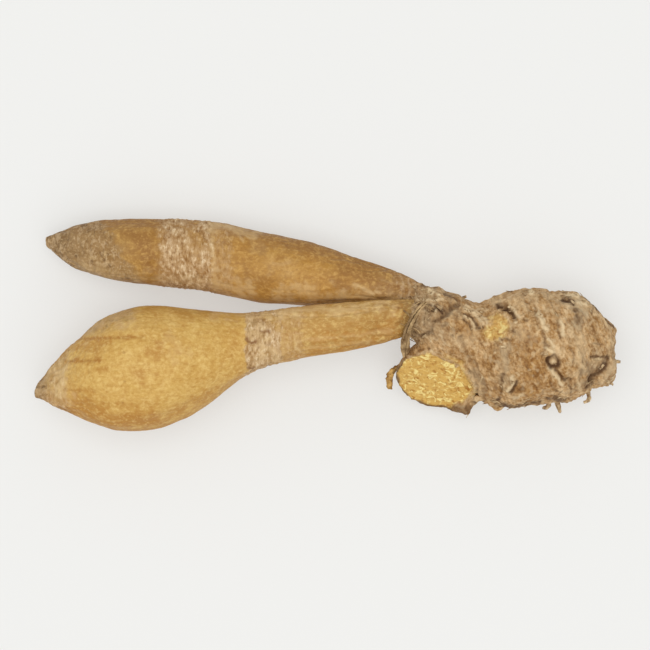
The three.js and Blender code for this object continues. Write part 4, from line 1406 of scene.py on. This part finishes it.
# %% Rhizome skin
def rhizome_skin(name):
    material, tree, shader, place = new_material(name)
    scar_turn = (0, 0, math.atan(LEAF_SCAR_SLANT))
    turned = add(tree, "Mapping", {"Vector": place, "Rotation": scar_turn}).outputs[0]
    cloud = use_group(tree, mottle, place, Size=2.6)
    flaky = use_group(tree, mottle, place, Size=1.1)
    blotch = use_group(tree, grain, turned, Size=(0.7, 1.1, 1.1))
    freckle = use_group(tree, grain, place, Size=(0.52, 0.52, 0.52))
    fibre = use_group(tree, grain, turned, Size=(0.5, 2.2, 2.2))
    vessels = use_group(tree, grain, place, Size=(0.95, 0.95, 0.95))
    dots = use_group(tree, specks, place, Spacing=1.4, Radius=0.26, Share=0.3)["Mask"]
    dark_dots = use_group(tree, specks, place, Spacing=1.9, Radius=0.28, Share=0.35)["Mask"]
    flesh = painted(tree, "flesh")
    pulp = layered(tree, lit(218, 177, 95), [
        (cloud["Fine"], 0.7, lit(196, 150, 70)),
        (vessels["Dark"], 1.0, lit(166, 108, 30)),
        (vessels["Curl"], 0.9, lit(244, 222, 144)),
        (painted(tree, "core"), 0.6, lit(190, 136, 52)),
    ])
    tone = layered(tree, lit(200, 160, 110), [
        (cloud["Broad"], 1.0, lit(170, 126, 70)),
        (flaky["Broad"], 0.45, lit(140, 96, 46)),
        (blotch["Light"], 0.65, lit(220, 188, 142)),
        (blotch["Dark"], 0.65, lit(130, 90, 44)),
        (blotch["Curl"], 0.35, lit(222, 190, 146)),
        (fibre["Light"], 0.42, lit(224, 196, 150)),
        (fibre["Dark"], 0.42, lit(116, 80, 40)),
        (freckle["Light"], 0.45, lit(226, 196, 150)),
        (freckle["Dark"], 0.50, lit(112, 74, 34)),
        (painted(tree, "brown"), 1.0, (0.70, 0.57, 0.37, 1), "MULTIPLY"),
        (painted(tree, "grey"), 0.55, GREY_BLOOM),
        (dots, 0.5, lit(220, 194, 150)),
        (dark_dots, 0.5, lit(96, 66, 36)),
        # worn pale skin, and painted light at one notch by the cut
        (painted(tree, "pale"), 0.82, lit(230, 206, 164)),
        # dark cracks, pocks and scars, and painted shadow beside a few steps and gaps
        (painted(tree, "dark"), 0.92, DARK_MARK_BROWN),
        (flesh, 1.0, pulp),
    ])
    tree.links.new(tone, shader.inputs["Base Color"])
    rough = math_node(tree, "SUBTRACT", 0.86, times(tree, flesh, 0.30))
    tree.links.new(rough, shader.inputs["Roughness"])
    shader.inputs["Specular IOR Level"].default_value = 0.28
    relief = plus(tree, freckle["Height"], fibre["Height"])
    bump(tree, shader, plus(tree, relief, times(tree, flaky["Broad"], 0.5)), 0.13)
    return material


coat(rhizome, rhizome_skin("rhizome_bark"))
print("rhizome skin nodes:", len(rhizome.data.materials[0].node_tree.nodes))

# %% [markdown]
# ### Threads and scraps
#
# Dried threads and scraps of skin share one recipe with different colours: a dark and a light tone mixed by
# mottle and by grain, and no gloss.

# %% Dry finishes
def dry_finish(name, dark_tone, light_tone, size):
    material, tree, shader, place = new_material(name)
    cloud = use_group(tree, mottle, place, Size=size)
    freckle = use_group(tree, grain, place, Size=(0.3, 0.3, 0.3))
    tone = layered(tree, dark_tone, [
        (cloud["Broad"], 1.0, light_tone),
        (freckle["Dark"], 0.5, (0.5, 0.42, 0.32, 1), "MULTIPLY"),
    ])
    tree.links.new(tone, shader.inputs["Base Color"])
    shader.inputs["Roughness"].default_value = 0.9
    shader.inputs["Specular IOR Level"].default_value = 0.2
    bump(tree, shader, freckle["Height"], 0.05)
    return material


rootlet_finish = dry_finish("dried_rootlet", lit(120, 88, 54), lit(222, 196, 154), 0.8)
fibre_finish = dry_finish("collar_fibre", lit(116, 88, 56), lit(200, 170, 124), 2.0)
scrap_finish = dry_finish("skin_scrap", lit(134, 102, 66), lit(214, 188, 146), 1.0)
strip_finish = dry_finish("golden_strip", lit(124, 82, 38), lit(208, 168, 100), 1.0)
for name, piece in threads.items():
    coat(piece, fibre_finish if name == "rootlet_collar" else rootlet_finish)
for piece, finish in ((collar, fibre_finish), (scurf, scrap_finish), (torn, strip_finish)):
    coat(piece, finish)
print("materials:", len(bpy.data.materials))

# %% [markdown]
# ## Hand over
#
# Each piece rides on the root's one body. Most stand for their own node of the frame, which is then hidden,
# and the collar fibres and skin scraps stand for none. The finished size is printed.

# %% Ride and replace
REPLACED = {
    rhizome: ("rhizome", "rhizome_skin"),
    bulb: ("bulb_finger", "finger_skin"),
    slim: ("slim_finger", "slim_finger_skin"),
    torn: ("skin_flake", "dry_skin"),
}
for name, piece in threads.items():
    REPLACED[piece] = (name, "rootlet_fibre")
for piece, (node, slot) in REPLACED.items():
    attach(piece, "root")
    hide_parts(node)
for piece, slot in ((collar, "rootlet_fibre"), (scurf, "dry_skin")):
    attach(piece, "root")

low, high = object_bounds()
print("finished size, mm:", [round(side / MM, 1) for side in high - low])
